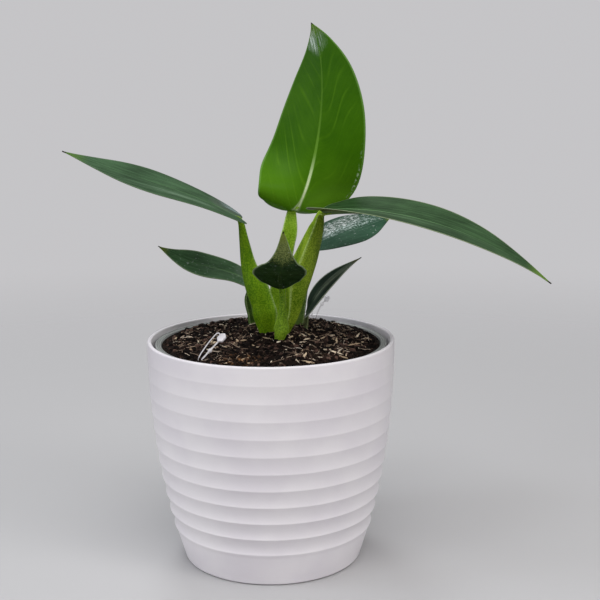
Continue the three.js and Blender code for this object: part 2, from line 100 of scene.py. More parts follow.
def aim_camera():
    """Makes the camera and turns it by its pitch, turn and roll."""
    sin_down, cos_down = math.sin(CAMERA_DOWN), math.cos(CAMERA_DOWN)
    sin_turn, cos_turn = math.sin(CAMERA_TURN), math.cos(CAMERA_TURN)
    ahead = Vector((sin_turn * cos_down, cos_turn * cos_down, -sin_down))
    above = Vector((sin_turn * sin_down, cos_turn * sin_down, cos_down))
    right = ahead.cross(above)
    cos_roll, sin_roll = math.cos(CAMERA_ROLL), math.sin(CAMERA_ROLL)
    axes = (right * cos_roll + above * sin_roll, above * cos_roll - right * sin_roll, -ahead)
    data = bpy.data.cameras.new("camera")
    data.lens = CAMERA_LENS
    data.sensor_width = SENSOR_WIDTH
    camera = bpy.data.objects.new("camera", data)
    scene.collection.objects.link(camera)
    camera.matrix_world = Matrix.Translation(CAMERA_PLACE) @ Matrix(axes).transposed().to_4x4()
    return camera


scene.camera = aim_camera()
print("camera at", scene.camera.location[:])

# %% [markdown]
# ## Node trees as plain sums
#
# Materials and Geometry Nodes trees are made of nodes. They could be wired one by one, but then
# a sum of three terms takes ten lines. A small class wraps a socket, so that `1 - mask` or
# `height * 0.5` adds the Math nodes by itself.

# %% Wires


class Wire:
    """A socket of a node tree. Sums on it add Math nodes to that tree."""

    def __init__(self, plan, socket):
        self.plan = plan
        self.socket = socket

    def __add__(self, other):
        return self.plan.maths("ADD", self, other)

    def __sub__(self, other):
        return self.plan.maths("SUBTRACT", self, other)

    def __rsub__(self, other):
        return self.plan.maths("SUBTRACT", other, self)

    def __mul__(self, other):
        return self.plan.maths("MULTIPLY", self, other)

    def __truediv__(self, other):
        return self.plan.maths("DIVIDE", self, other)

    def __pow__(self, other):
        return self.plan.maths("POWER", self, other)

    __radd__ = __add__
    __rmul__ = __mul__

    def beside(self, name):
        """Another output of the same node."""
        return Wire(self.plan, self.socket.node.outputs[name])


print("a wire knows", len([name for name in vars(Wire) if name.startswith("__")]), "special names")

# %% [markdown]
# ## Plans
#
# A plan is a node tree while it is being made. One method adds any node from its type, its
# settings and the values of its sockets. The others are short names for what the finishes use
# most: a soft step, a mix of two colours, noise, a bump.

# %% Plans


class Plan:
    """A node tree while it is being made."""

    def __init__(self, tree):
        self.tree = tree

    def node(self, kind, settings=None, sockets=None, out=0):
        """Adds a node: its settings first, then the values or links of its sockets."""
        made = self.tree.nodes.new(kind)
        for key, value in (settings or {}).items():
            if key == "stops":
                self.set_stops(made.color_ramp, value)
            else:
                setattr(made, key, value)
        for key, value in (sockets or {}).items():
            if isinstance(value, Wire):
                self.tree.links.new(value.socket, made.inputs[key])
            else:
                made.inputs[key].default_value = value
        return Wire(self, made.outputs[out]) if made.outputs else made

    def set_stops(self, ramp, stops):
        while len(ramp.elements) < len(stops):
            ramp.elements.new(1.0)
        for element, (place, colour) in zip(ramp.elements, stops):
            element.position = place
            element.color = (*colour, 1.0)

    def maths(self, operation, *values):
        return self.node("ShaderNodeMath", {"operation": operation}, dict(enumerate(values)))

    def sine(self, angle):
        return self.maths("SINE", angle)

    def smooth(self, value, low, high):
        """0 below low, 1 above high and a soft step between them."""
        sockets = {"Value": value, "From Min": low, "From Max": high}
        return self.node("ShaderNodeMapRange", {"interpolation_type": "SMOOTHSTEP"}, sockets)

    def near(self, value, centre, reach):
        """1 where the value is at the centre, falling softly to 0 at the reach."""
        return 1 - self.smooth(self.maths("ABSOLUTE", value - centre), 0.0, reach)

    def mix(self, share, first, second, blend="MIX"):
        """A colour between two colours."""
        colours = [value if isinstance(value, Wire) else (*value, 1.0) for value in (first, second)]
        sockets = {0: share, 6: colours[0], 7: colours[1]}
        return self.node("ShaderNodeMix", {"data_type": "RGBA", "blend_type": blend}, sockets, out=2)

    def ramp(self, stops, share):
        """A colour looked up among stops of a place and a colour."""
        return self.node("ShaderNodeValToRGB", {"stops": stops}, {"Fac": share})

    def noise(self, where, scale, detail=3.0, rough=0.5):
        sockets = {"Vector": where, "Scale": scale, "Detail": detail, "Roughness": rough}
        return self.node("ShaderNodeTexNoise", None, sockets)

    def split(self, vector):
        """The x, y and z of a vector."""
        parts = self.node("ShaderNodeSeparateXYZ", None, {0: vector})
        return [parts.beside(axis) for axis in "XYZ"]

    def join(self, x, y, z=0.0):
        return self.node("ShaderNodeCombineXYZ", None, {0: x, 1: y, 2: z})

    def kept(self, name):
        """A number that the mesh keeps at each point."""
        return self.node("ShaderNodeAttribute", {"attribute_name": name}, None, out="Fac")

    def patches(self, where, scale, low, high, detail=3.0, rough=0.5):
        """Noise with a soft step: 0 below low and 1 above high."""
        return self.smooth(self.noise(where, scale, detail, rough), low, high)

    def stretch(self, where, scale):
        return self.node("ShaderNodeMapping", None, {"Vector": where, "Scale": scale})

    def bump(self, height, strength, distance):
        sockets = {"Height": height, "Strength": strength, "Distance": distance}
        return self.node("ShaderNodeBump", None, sockets)


print("plans are ready")

# %% [markdown]
# ## Finishes
#
# A finish is a material with one Principled shader. Its recipe is a function that returns the
# shader's settings, so each recipe below reads as a list of what the surface is like. Patterns
# follow Object coordinates, which stay with the piece wherever it goes.

# %% A finish from a recipe


def new_finish(name, make, *facts):
    """A material whose surface is the Principled settings that make(plan, *facts) returns."""
    material = bpy.data.materials.new(name)
    material.use_nodes = True
    plan = Plan(material.node_tree)
    plan.tree.nodes.clear()
    sockets = make(plan, *facts)
    colour = sockets["Base Color"]
    if not isinstance(colour, Wire):
        sockets["Base Color"] = (*colour, 1.0)
    shader = plan.node("ShaderNodeBsdfPrincipled", None, sockets)
    plan.node("ShaderNodeOutputMaterial", None, {"Surface": shader})
    print(name, "has", len(plan.tree.nodes), "nodes")
    return material


def object_place(plan):
    return plan.node("ShaderNodeTexCoord", None, None, out="Object")


print("finishes are ready")

# %% [markdown]
# ## Meshes from grids of points
#
# A pot, a stalk and a leaf blade are all rings of points joined into a skin. Screw and curve
# tools could make some of them, but one function can make them all. It closes both ends on the
# middle of their ring and gives each face its place on the surface as a UV map. Blender then
# turns every face outwards.

# %% Meshes and normals


def link_mesh(name, mesh, material):
    piece = bpy.data.objects.new(name, mesh)
    scene.collection.objects.link(piece)
    if material:
        mesh.materials.append(material)
    return piece


def turn_outwards(mesh):
    """Merges doubled points, turns the faces outwards and shades them smooth."""
    work = bmesh.new()
    work.from_mesh(mesh)
    bmesh.ops.remove_doubles(work, verts=work.verts, dist=1e-7)
    bmesh.ops.recalc_face_normals(work, faces=work.faces)
    work.to_mesh(mesh)
    work.free()
    mesh.polygons.foreach_set("use_smooth", [True] * len(mesh.polygons))


def unit(vectors):
    return vectors / np.linalg.norm(vectors, axis=-1, keepdims=True)


print("frame nodes to dress:", ", ".join(sorted(frame["nodes"])))

# %% Skin through rings


def skin_faces(rows, columns):
    """The quads between rings, then the triangles to the first and the last middle point."""
    row, column = np.meshgrid(np.arange(rows - 1), np.arange(columns), indexing="ij")
    corner = row * columns + column
    across = row * columns + (column + 1) % columns
    quads = np.stack([corner, across, across + columns, corner + columns], axis=-1).reshape(-1, 4)
    around = np.arange(columns)
    after = (around + 1) % columns
    top = (rows - 1) * columns
    first = np.stack([np.full(columns, rows * columns), after, around], axis=-1)
    last = np.stack([np.full(columns, rows * columns + 1), top + around, top + after], axis=-1)
    return quads.tolist() + first.tolist() + last.tolist()


def lay_surface(mesh, uv):
    """Gives each face corner its place on the surface, in the order of skin_faces."""
    around = [uv[:-1, :-1], uv[:-1, 1:], uv[1:, 1:], uv[1:, :-1]]
    sides = np.stack(around, axis=2).reshape(-1, 2)
    start = np.stack([uv[0, :-1], uv[0, 1:], uv[0, :-1]], axis=1).reshape(-1, 2)
    end = np.stack([uv[-1, :-1], uv[-1, :-1], uv[-1, 1:]], axis=1).reshape(-1, 2)
    layer = mesh.uv_layers.new(name="surface")
    layer.data.foreach_set("uv", np.vstack([sides, start, end]).astype(np.float32).ravel())


def skin_piece(name, rings, material, attributes=None, uv=None):
    """A closed skin through rings, an array of rows by columns by 3 in millimetres."""
    rows, columns, _ = rings.shape
    ends = [rings[0].mean(axis=0), rings[-1].mean(axis=0)]
    points = np.vstack([rings.reshape(-1, 3), ends]) * MM
    mesh = bpy.data.meshes.new(name)
    mesh.from_pydata(points.tolist(), [], skin_faces(rows, columns))
    if uv is not None:
        lay_surface(mesh, uv)
    for key, values in (attributes or {}).items():
        store = mesh.attributes.new(key, "FLOAT", "POINT")
        middles = [values[0].mean(), values[-1].mean()]
        store.data.foreach_set("value", np.concatenate([values.ravel(), middles]).astype(np.float32))
    turn_outwards(mesh)
    return link_mesh(name, mesh, material)


print("a skin of 3 rings of 4 points has", len(skin_faces(3, 4)), "faces")

# %% Lathe and settle


def lathe_rings(profile, spokes):
    """Rings of a turned shape from a profile of radius and height in millimetres."""
    angles = np.linspace(0.0, 2.0 * math.pi, spokes, endpoint=False)
    profile = np.asarray(profile, dtype=float)
    radius, height = profile[:, :1], profile[:, 1:]
    x, y = radius * np.cos(angles), radius * np.sin(angles)
    return np.stack([x, y, np.broadcast_to(height, x.shape)], axis=-1)


def settle(piece, slot, *nodes):
    """The piece rides on the one body and stands for its nodes; slot is not used."""
    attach(piece, "root")
    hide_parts(*nodes)
    triangles = sum(len(face.vertices) - 2 for face in piece.data.polygons)
    print(piece.name, "has", triangles, "triangles")


print("a lathe of 2 points and 6 spokes makes", lathe_rings([(1, 0), (1, 1)], 6).shape)

# %% [markdown]
# ## The cover pot
#
# The cover pot is one injection moulding in white plastic. Its wall leans out in a curve that
# is steepest at the foot, and its lip is rounded. Ten hollow flutes run round it between fairly
# sharp ribs, faint under the rim and deeper towards the foot. A modifier could screw a curve
# round the axis, but a profile in numbers keeps the spacing of the ribs exact. They are in the
# mesh and not in a bump, because their shading is what the eye sees first.

# %% Cover pot wall
RIM_RADIUS = 70.0
POT_HEIGHT = 127.5
FOOT_INSET = 19.1
WALL_CURVE = 2.15
POT_WALL = 3.2
POT_FLOOR = 3.0
RIB_COUNT = 11
RIB_PITCH = 9.75
TOP_RIB_Z = 117.3
BOTTOM_RIB_Z = TOP_RIB_Z - (RIB_COUNT - 1) * RIB_PITCH
FLUTE_SHALLOW = 0.26
FLUTE_DEEPER = 1.05
FLUTE_GROWTH = 1.6


def wall_radius(z):
    return RIM_RADIUS - FOOT_INSET * (1.0 - z / POT_HEIGHT) ** WALL_CURVE


def flute_depth(z):
    """The flutes are shallow under the rim and deepen towards the foot."""
    down = (TOP_RIB_Z - z) / (TOP_RIB_Z - BOTTOM_RIB_Z)
    return FLUTE_SHALLOW + FLUTE_DEEPER * max(down, 0.0) ** FLUTE_GROWTH


print("the lowest flute is", round(flute_depth(BOTTOM_RIB_Z), 2), "mm deep")

# %% Cover pot outside
FOOT_ROUND = 1.6
FOOT_STEP = 2.0
GROOVE_RADIUS = 44.5
GROOVE_SHAPE = [(-0.9, 0.0), (-0.6, 0.35), (0.0, 0.5), (0.6, 0.35), (0.9, 0.0)]
PLAIN_FOOT = (4.0, BOTTOM_RIB_Z - 3.0)
BELOW_RIB = (-1.2, 0.12)
FLUTE_STEPS = [0.0, 0.035, 0.1, 0.18, 0.28, 0.4, 0.5, 0.6, 0.72, 0.82, 0.9, 0.965]
# Above the top rib: how far up, and what is left of the rib.
ABOVE_RIB = [(0.35, 0.4), (1.2, 0.18), (3.0, 0.0), (5.5, 0.0)]


def foot_profile():
    """From the groove in the underside, round the foot's edge and up the plain foot."""
    profile = [(GROOVE_RADIUS + out, z) for out, z in GROOVE_SHAPE]
    profile.append((wall_radius(0.0) - FOOT_STEP, 0.0))
    centre = wall_radius(FOOT_ROUND) - FOOT_ROUND
    for angle in np.linspace(0.0, math.pi / 2, 7)[1:]:
        out, up = FOOT_ROUND * math.sin(angle), FOOT_ROUND * math.cos(angle)
        profile.append((centre + out, FOOT_ROUND - up))
    profile += [(wall_radius(z), z) for z in np.linspace(*PLAIN_FOOT, 6)]
    below = BOTTOM_RIB_Z + BELOW_RIB[0]
    return profile + [(wall_radius(below) + BELOW_RIB[1], below)]


def fluted_profile():
    """Up the hollow flutes between their ribs to the plain band."""
    profile = []
    for rib in range(RIB_COUNT - 1):
        for step in FLUTE_STEPS:
            z = BOTTOM_RIB_Z + (rib + step) * RIB_PITCH
            hollow = 0.5 - 4.0 * step * (1.0 - step)
            profile.append((wall_radius(z) + flute_depth(z) * hollow, z))
    for above, share in [(0.0, 0.5), *ABOVE_RIB]:
        z = TOP_RIB_Z + above
        profile.append((wall_radius(z) + FLUTE_SHALLOW * share, z))
    return profile


print("outside profile:", len(foot_profile()) + len(fluted_profile()), "points")

# %% Cover pot lip and inside
RIM_ROUND = 1.2
RIM_SQUARE = 0.65
INSIDE_HEIGHTS = (123.0, 118.0, 106.0, 95.0, 83.0, 72.0, 60.0, 49.0, 37.0, 26.0, 18.0, 10.0)
FLOOR_CORNER = [(-1.0, 1.0), (-3.0, 0.0)]
POT_SPOKES = 192


def lip_profile():
    """Over the lip, a little squarer than half a circle."""
    profile = []
    for angle in np.linspace(0.0, math.pi, 17):
        out = math.copysign(abs(math.cos(angle)) ** RIM_SQUARE, math.cos(angle))
        up = abs(math.sin(angle)) ** RIM_SQUARE
        profile.append((RIM_RADIUS + RIM_ROUND * (out - 1.0), POT_HEIGHT + RIM_ROUND * (up - 1.0)))
    return profile


def inside_profile():
    """Down the inside to the floor."""
    profile = [(wall_radius(z) - POT_WALL, z) for z in INSIDE_HEIGHTS]
    corner = wall_radius(POT_FLOOR) - POT_WALL
    return profile + [(corner + out, POT_FLOOR + up) for out, up in FLOOR_CORNER]


pot_profile = foot_profile() + fluted_profile() + lip_profile() + inside_profile()
print("whole profile:", len(pot_profile), "points")

# %% [markdown]
# ## White plastic
#
# The plastic is satin: it blurs the lights and shows no clear reflection. A plain colour would
# look like paper, so it is faintly mottled, and a slow wave in the bump gives the wall the
# unevenness of a moulding. A thin rough coat adds the soft edge of its highlights.

# %% Cover pot finish
WHITE_DULL = (0.74, 0.705, 0.745)
WHITE_CLEAR = (0.79, 0.76, 0.785)


def white_plastic(plan):
    """Satin white, faintly mottled, with a fine grain and a slow wave."""
    place = object_place(plan)
    mottle = plan.noise(place, 35.0, 4.0)
    grain = plan.noise(place, 900.0, 2.0)
    wave = plan.noise(plan.stretch(place, (1.0, 1.0, 3.0)), 18.0, 2.0)
    return {
        "Base Color": plan.mix(plan.smooth(mottle, 0.3, 0.7), WHITE_DULL, WHITE_CLEAR),
        "Roughness": 0.34 + mottle * 0.1,
        "Normal": plan.bump(grain * 0.3 + wave, 0.25, 0.0003),
        "Coat Weight": 0.12,
        "Coat Roughness": 0.25,
    }


pot_finish = new_finish("satin_white_plastic", white_plastic)
cover_pot = skin_piece("ribbed_cover_pot", lathe_rings(pot_profile, POT_SPOKES), pot_finish)
settle(cover_pot, "pot_white", "cover_pot")

# %% [markdown]
# ## The grower's pot
#
# A thin grey-green pot stands inside. Only its flange and the top of its wall show, and a ring
# would do for those, but it is made whole, so that it is right from every side. The flange
# turns down at its outer edge and has a small step on top.

# %% Grower's pot shape
GAP = 0.3
GROWER_FOOT_RADIUS = 46.0
GROWER_MOUTH_RADIUS = 62.2
GROWER_TOP_Z = 125.5
GROWER_WALL = 1.0
GROWER_FOOT_Z = POT_FLOOR + GAP
GROWER_SPOKES = 160
FLANGE_RADIUS = 65.6
FLANGE_DROP = 6.5


def grower_radius(z):
    """The radius of the inside of the wall."""
    rise = (z - GROWER_FOOT_Z) / (GROWER_TOP_Z - GROWER_FOOT_Z)
    inner = GROWER_FOOT_RADIUS - GROWER_WALL
    return inner + (GROWER_MOUTH_RADIUS - inner) * rise


def flange_profile():
    """From under the flange, down and up its skirt and back over the top to the mouth."""
    top, under, skirt = GROWER_TOP_Z, GROWER_TOP_Z - GROWER_WALL, GROWER_TOP_Z - FLANGE_DROP
    hollow = FLANGE_RADIUS - GROWER_WALL
    profile = [(grower_radius(under) + GROWER_WALL + 0.3, under), (hollow - 0.3, under)]
    profile += [(hollow, under - 0.4), (hollow, skirt), (FLANGE_RADIUS, skirt)]
    profile += [(FLANGE_RADIUS, top - 0.5), (FLANGE_RADIUS - 0.15, top - 0.15)]
    profile += [(FLANGE_RADIUS - 0.5, top), (FLANGE_RADIUS - 1.0, top)]
    profile += [(FLANGE_RADIUS - 1.2, top - 0.25), (GROWER_MOUTH_RADIUS + 0.5, top - 0.3)]
    return profile + [(GROWER_MOUTH_RADIUS, top - 0.6)]


def grower_profile():
    """Up the outside, round the flange and down the inside."""
    outside = np.linspace(8.0, GROWER_TOP_Z - GROWER_WALL - 0.6, 12)
    inside = np.linspace(GROWER_TOP_Z - 2.0, GROWER_FOOT_Z + GROWER_WALL, 12)
    profile = [(GROWER_FOOT_RADIUS - 1.0, GROWER_FOOT_Z), (GROWER_FOOT_RADIUS, GROWER_FOOT_Z + 1.0)]
    profile += [(grower_radius(z) + GROWER_WALL, z) for z in outside]
    return profile + flange_profile() + [(grower_radius(z), z) for z in inside]


print("grower's pot profile:", len(grower_profile()), "points")

# %% [markdown]
# ## Grey-green plastic
#
# A grower's pot is thin, slightly cloudy and never quite clean. Smears of peat cling to it, and
# the moulded steps of its flange show as fine dark rings of painted shade in their creases. The
# rings are drawn by the distance from the axis, because steps that fine would need a very dense
# mesh.

# %% Grower's pot finish
RING_LINES = (63.0, 64.1, 65.2)
RING_LINE_HALF = (0.10, 0.32)
GROWER_DULL = (0.26, 0.275, 0.265)
GROWER_CLEAR = (0.38, 0.395, 0.38)
# Painted shade in the creases of the flange's moulded steps.
STEP_SHADE_DARK = (0.05, 0.05, 0.045)
SMEAR_BROWN = (0.05, 0.035, 0.028)


def grower_plastic(plan):
    """Thin grey-green plastic with smears of peat near the soil and rings of painted shade."""
    place = object_place(plan)
    smear = plan.patches(place, 160.0, 0.60, 0.72, 5.0, 0.65)
    clean = plan.mix(plan.noise(place, 40.0, 3.0), GROWER_DULL, GROWER_CLEAR)
    x, y, _ = plan.split(place)
    radius = (x**2 + y**2) ** 0.5 / MM + plan.noise(place, 25.0, 2.0) * 1.2
    # Painted shade: a dark ring in the crease of each moulded step.
    for line in RING_LINES:
        away = plan.maths("ABSOLUTE", radius - line)
        clean = plan.mix((1 - plan.smooth(away, *RING_LINE_HALF)) * 0.75, clean, STEP_SHADE_DARK)
    return {
        "Base Color": plan.mix(smear * 0.75, clean, SMEAR_BROWN),
        "Roughness": 0.42 + smear * 0.4,
        "Normal": plan.bump(plan.noise(place, 700.0, 2.0), 0.2, 0.0002),
    }


grower_finish = new_finish("grey_green_plastic", grower_plastic)
grower_pot = skin_piece("growers_pot", lathe_rings(grower_profile(), GROWER_SPOKES), grower_finish)
settle(grower_pot, "grower_plastic", "nursery_pot")

# %% [markdown]
# ## Leaves
#
# Each leaf of the plant is one growth: a blade on both sides of a midrib, on a swollen stalk.
# Blades could be modelled by hand from planes, but seven leaves of one form are truer as
# numbers. The midrib is a Bezier curve from the neck, where the stalk ends, to the tip. The
# upper side looks one way at the neck and another at the tip, and each half rises a little from
# the midrib. Half an outline, given as places along the midrib and parts of the half width, is
# shared by six leaves. The front leaf has its own.

# %% Leaf measures
# Place along the midrib and part of the half width.
OUTLINE = [
    (0, 0), (-0.03, 0.22), (-0.025, 0.55), (0.03, 0.84), (0.13, 0.97), (0.27, 1),
    (0.44, 0.98), (0.6, 0.88), (0.75, 0.64), (0.88, 0.3), (0.96, 0.085), (1, 0),
]

# The front leaf narrows to its neck and has a long point.
FRONT_OUTLINE = [
    (0, 0), (0.02, 0.3), (0.06, 0.55), (0.1, 0.77), (0.21, 0.95), (0.31, 0.97),
    (0.48, 0.92), (0.62, 0.76), (0.69, 0.56), (0.84, 0.29), (0.945, 0.12), (1, 0),
]

# stalk: x, y, z and width from the soil to below the neck. face: the way the upper side looks
# at the neck and at the tip. fold: the rise of each half in degrees.
LEAVES = {
    "left": {
        "stalk": [
            (-0.9, -2.5, 120, 6), (-2.7, -3.5, 131, 9.4), (-4.3, -3, 141, 14.4), (-5.8, -3, 148, 13.8),
            (-9.3, -3, 158.5, 13.2), (-12.9, -2.5, 170, 9), (-15, -2.3, 184, 5.5),
        ],
        "stalk_face": (0.85, 0.5, 0.2),
        "rib": [
            (-17.3, -2.4, 196.3), (-49.1, -8.4, 214.4), (-59.3, -13.7, 214.4), (-110, -20.5, 234.8),
        ],
        "face": [(-0.06, -0.08, 0.99), (-0.13, -0.31, 0.94)],
        "half": 25.9, "fold": 2.0, "neck": 3.3, "slot": "blade_dark",
    },
    "upright": {
        "stalk": [
            (3.5, 7, 120, 6), (4.4, 9.5, 131, 9.5), (3.7, 11, 150, 10), (8.4, 11.5, 176.5, 9.3),
            (10.8, 11.7, 187, 8.6),
        ],
        "stalk_face": (0.2, -1, 0.2),
        "rib": [(13.8, 12, 198), (22.7, -1.2, 205.5), (39.1, 20.5, 272.5), (24.9, 41.1, 303.5)],
        "face": [(-0.25, -0.01, -0.97), (-0.14, -0.92, -0.36)],
        "half": 27.6, "fold": -9.2, "neck": 4.6, "slot": "blade_bright",
    },
    "right": {
        "stalk": [
            (7.7, -4, 120, 6), (7.6, -5, 131, 7), (12.4, -5, 142, 9), (15.8, -5.6, 161, 16.2),
            (20.5, -7.6, 174, 14.4), (24.9, -10.1, 187.5, 10.4), (26.6, -10.8, 193, 8),
        ],
        "stalk_face": (-1, -0.2, 0.25),
        "rib": [(30.4, -11.4, 201.1), (50.7, -23.7, 203.7), (99, -42.6, 203.2), (147.2, -48.9, 165.6)],
        "face": [(0.09, -0.04, 1), (-0.06, -0.15, 0.99)],
        "half": 27.3, "fold": 9.0, "neck": 4.6, "slot": "blade_dark",
    },
    "front": {
        "stalk": [
            (4.8, -12, 120, 6), (5.1, -17.3, 131.5, 6.6), (5.8, -17.7, 135, 8.6),
            (6.1, -17.8, 139.5, 7), (6.5, -18, 145.4, 4.7), (6.5, -18, 151, 3),
        ],
        "stalk_face": (0, 1, 0.1),
        "rib": [(5.9, -17.9, 158.3), (2.6, -43, 178.4), (7.4, -58.3, 166.2), (6.5, -74, 198.1)],
        "face": [(0.03, 0.45, 0.9), (0.04, 0.46, 0.89)],
        "half": 14.6, "fold": 7.5, "neck": 2.6, "slot": "blade_dark",
        "outline": FRONT_OUTLINE, "keel": 0.4,
    },
    "small_left": {
        "stalk": [
            (-8.3, 26, 118, 4.1), (-11.4, 29, 129, 4.2), (-12, 28.5, 135, 4.9), (-13.5, 27.2, 144, 5.1),
        ],
        "stalk_face": (0.6, -0.8, 0.2),
        "rib": [(-12.4, 26, 154.6), (-31, 25.1, 167.4), (-38.9, 15.2, 161.7), (-63.8, 12.1, 178.7)],
        "face": [(0.01, -0.2, 0.98), (-0.02, -0.65, 0.76)],
        "half": 13.7, "fold": 5.5, "neck": 3.0, "slot": "blade_dark",
    },
    "back_right": {
        "stalk": [
            (15, 24, 118, 5), (17, 25, 131, 6), (18.5, 26, 142, 6), (21, 27, 157, 5),
        ],
        "stalk_face": (-0.4, -1, 0.2),
        "rib": [(26.3, 28.1, 174.2), (31.2, 27.1, 180.3), (53.1, 36.2, 184.7), (72.8, 41.3, 191.2)],
        "face": [(0.09, -0.02, 1), (-0.01, -0.5, 0.86)],
        "half": 19.1, "fold": 5.0, "neck": 3.0, "slot": "blade_dark",
    },
    "small_right": {
        "stalk": [
            (18.6, 10, 118, 2.6), (20, 11, 128, 2.7), (20.8, 11.7, 134, 2.5),
        ],
        "stalk_face": (-0.7, -0.7, 0.1),
        "rib": [(20.8, 11.5, 138.8), (23.5, 9.7, 144.2), (26.7, 6.8, 157), (51.6, 4.1, 172.3)],
        "face": [(-0.17, -0.23, 0.96), (-0.1, -0.48, 0.87)],
        "half": 8.8, "fold": 5.0, "neck": 2.0, "slot": "blade_dark",
    },
}

print("leaves:", ", ".join(LEAVES))

# %% Curves


def bezier(points, t):
    """Points and slopes of a cubic Bezier curve."""
    p = np.asarray(points, dtype=float)
    t = np.asarray(t, dtype=float)[..., None]
    u = 1.0 - t
    place = u**3 * p[0] + 3 * u * u * t * p[1] + 3 * u * t * t * p[2] + t**3 * p[3]
    slope = 3 * (u * u * (p[1] - p[0]) + 2 * u * t * (p[2] - p[1]) + t * t * (p[3] - p[2]))
    return place, slope


def spline(points, t, straight_ends=False):
    """A smooth curve through every point, t running from 0 at the first to 1 at the last."""
    p = np.asarray(points, dtype=float)
    last = len(p) - 1
    before, after = (2 * p[0] - p[1], 2 * p[-1] - p[-2]) if straight_ends else (p[0], p[-1])
    p = np.vstack([before, p, after])
    x = np.clip(np.asarray(t, dtype=float) * last, 0, last - 1e-9)
    i = x.astype(int)
    f = (x - i)[..., None]
    p0, p1, p2, p3 = (p[i + k] for k in range(4))
    bend = 2 * p0 - 5 * p1 + 4 * p2 - p3
    return 0.5 * (2 * p1 + (p2 - p0) * f + bend * f * f + (3 * p1 - p0 - 3 * p2 + p3) * f**3)


def rib_frame(leaf, along):
    """The midrib's point, tangent, upper side and right side at stations along it."""
    held = np.clip(along, 0, 1)
    origin, slope = bezier(leaf["rib"], held)
    tangent = unit(slope)
    line, _ = bezier(leaf["rib"], np.linspace(0, 1, 60))
    length = np.linalg.norm(np.diff(line, axis=0), axis=1).sum()
    origin = origin + np.minimum(along, 0)[..., None] * length * tangent
    share = held[..., None]
    looks = np.asarray(leaf["face"][0]) * (1 - share) + np.asarray(leaf["face"][1]) * share
    up = unit(looks - (looks * tangent).sum(-1, keepdims=True) * tangent)
    return origin, tangent, up, np.cross(tangent, up)


print("the left midrib ends at", bezier(LEAVES["left"]["rib"], 1.0)[0])

# %% [markdown]
# ## Side veins
#
# The side veins leave the midrib at a slant and curl forwards, a little out of step on the two
# halves. They could be painted as a picture, but one sum gives a number that is whole on each
# vein. The mesh uses it to sink the veins and the finish to colour them, so the two agree.

# %% Side veins
VEINS = {
    "count": 8.0, "lean": 0.30, "curl": 0.22, "stagger": 0.45,
    "sway": 0.22, "sway_along": 11.0, "sway_across": 9.0,
}
VEIN_DEPTH = 0.1
VEIN_REACH = 0.35


def vein_phase(along, share, across, right_half, sine):
    """A number that is whole on each side vein. It works on arrays and on wires alike."""
    bend = across * VEINS["lean"] + across**2 * VEINS["curl"]
    sway = sine(along * VEINS["sway_along"] + share * VEINS["sway_across"]) * VEINS["sway"]
    return (along - bend) * VEINS["count"] + right_half * VEINS["stagger"] + sway


def vein_line(along, share):
    """1 on a side vein and 0 between veins. share runs from -1 over 0 at the midrib to 1."""
    phase = vein_phase(along, share, np.abs(share), share > 0, np.sin)
    near = np.abs(phase - np.round(phase)) * 2.0
    return np.clip(1.0 - near / VEIN_REACH, 0.0, 1.0) ** 2


print("side veins in each half:", int(VEINS["count"]))

# %% [markdown]
# ## Leaf blades
#
# A real blade is about half a millimetre thick and thins to its margin. It could be a sheet
# with a Solidify modifier, but then the keel under the midrib would be missing. So its rings
# run round the leaf: over the top from margin to margin, round the margin and back underneath.
# The midrib stands out below as a keel that thins towards the tip. On top it is a shallow
# channel, and the side veins are sunk by a tenth of a millimetre, so that gloss shows them.

# %% Blade mesh
BLADE_THICK = 0.7
MARGIN_THICK = 0.3
KEEL_SHARE = 0.38
KEEL_DEPTH = 1.45
KEEL_SPREAD = 0.85
KEEL_TIP_RADIUS = 0.4
CHANNEL_DEPTH = 0.35
CHANNEL_SPREAD = 0.75
TIP_TAPER = 12.0
FOLD_EASE = 0.5
BLADE_ROWS = 110
BLADE_COLUMNS = 26
# Above 1, rows crowd at the neck and columns crowd at the midrib.
ROW_CROWD = 1.5
COLUMN_CROWD = 1.4


def blade_sheet(leaf):
    """The sheet in the middle of a blade: where its points are and which way they face."""
    rows = np.linspace(0.0, 1.0, BLADE_ROWS + 1)[1:-1]
    rows = 0.5 - 0.5 * np.cos(math.pi * rows)
    edge = spline(leaf.get("outline", OUTLINE), rows)
    step = np.linspace(-1.0, 1.0, 2 * BLADE_COLUMNS + 1)
    share = np.sign(step) * np.abs(step) ** COLUMN_CROWD
    out = np.abs(share)[None, :]
    along = (rows**ROW_CROWD)[:, None] * (1 - out) + edge[:, :1] * out
    lateral = share[None, :] * edge[:, 1:] * leaf["half"]
    held = np.clip(along, 0, 1)
    origin, _, up, side = rib_frame(leaf, along)
    rise = np.abs(lateral) * math.tan(math.radians(leaf["fold"])) * (1 - FOLD_EASE * held)
    middle = origin + side * lateral[..., None] + up * rise[..., None]
    normal = unit(np.cross(np.gradient(middle, axis=1), np.gradient(middle, axis=0)))
    places = {"out": out, "along": along, "held": held, "lateral": lateral}
    return SimpleNamespace(middle=middle, normal=normal, side=side, **places)


def blade_sides(leaf, sheet):
    """The upper side with its channel and veins, and the lower side with its keel."""
    taper = np.clip((1 - sheet.along) * TIP_TAPER, 0, 1)
    radius = KEEL_TIP_RADIUS + (KEEL_SHARE * leaf["neck"] - KEEL_TIP_RADIUS) * (1 - sheet.held) ** 2

    def hump(spread):
        return np.exp(-((sheet.lateral / (spread * radius)) ** 2)) * taper

    thick = MARGIN_THICK + (BLADE_THICK - MARGIN_THICK) * (1 - sheet.out**3)
    channel = CHANNEL_DEPTH * hump(CHANNEL_SPREAD) * (1 - sheet.held)
    vein = VEIN_DEPTH * vein_line(sheet.along, sheet.lateral / leaf["half"]) * (1 - sheet.out) ** 0.5
    keel = leaf.get("keel", 1.0) * KEEL_DEPTH * radius * hump(KEEL_SPREAD)
    top = sheet.middle + sheet.normal * (thick / 2 - channel - vein)[..., None]
    return top, sheet.middle - sheet.normal * (thick / 2 + keel)[..., None]


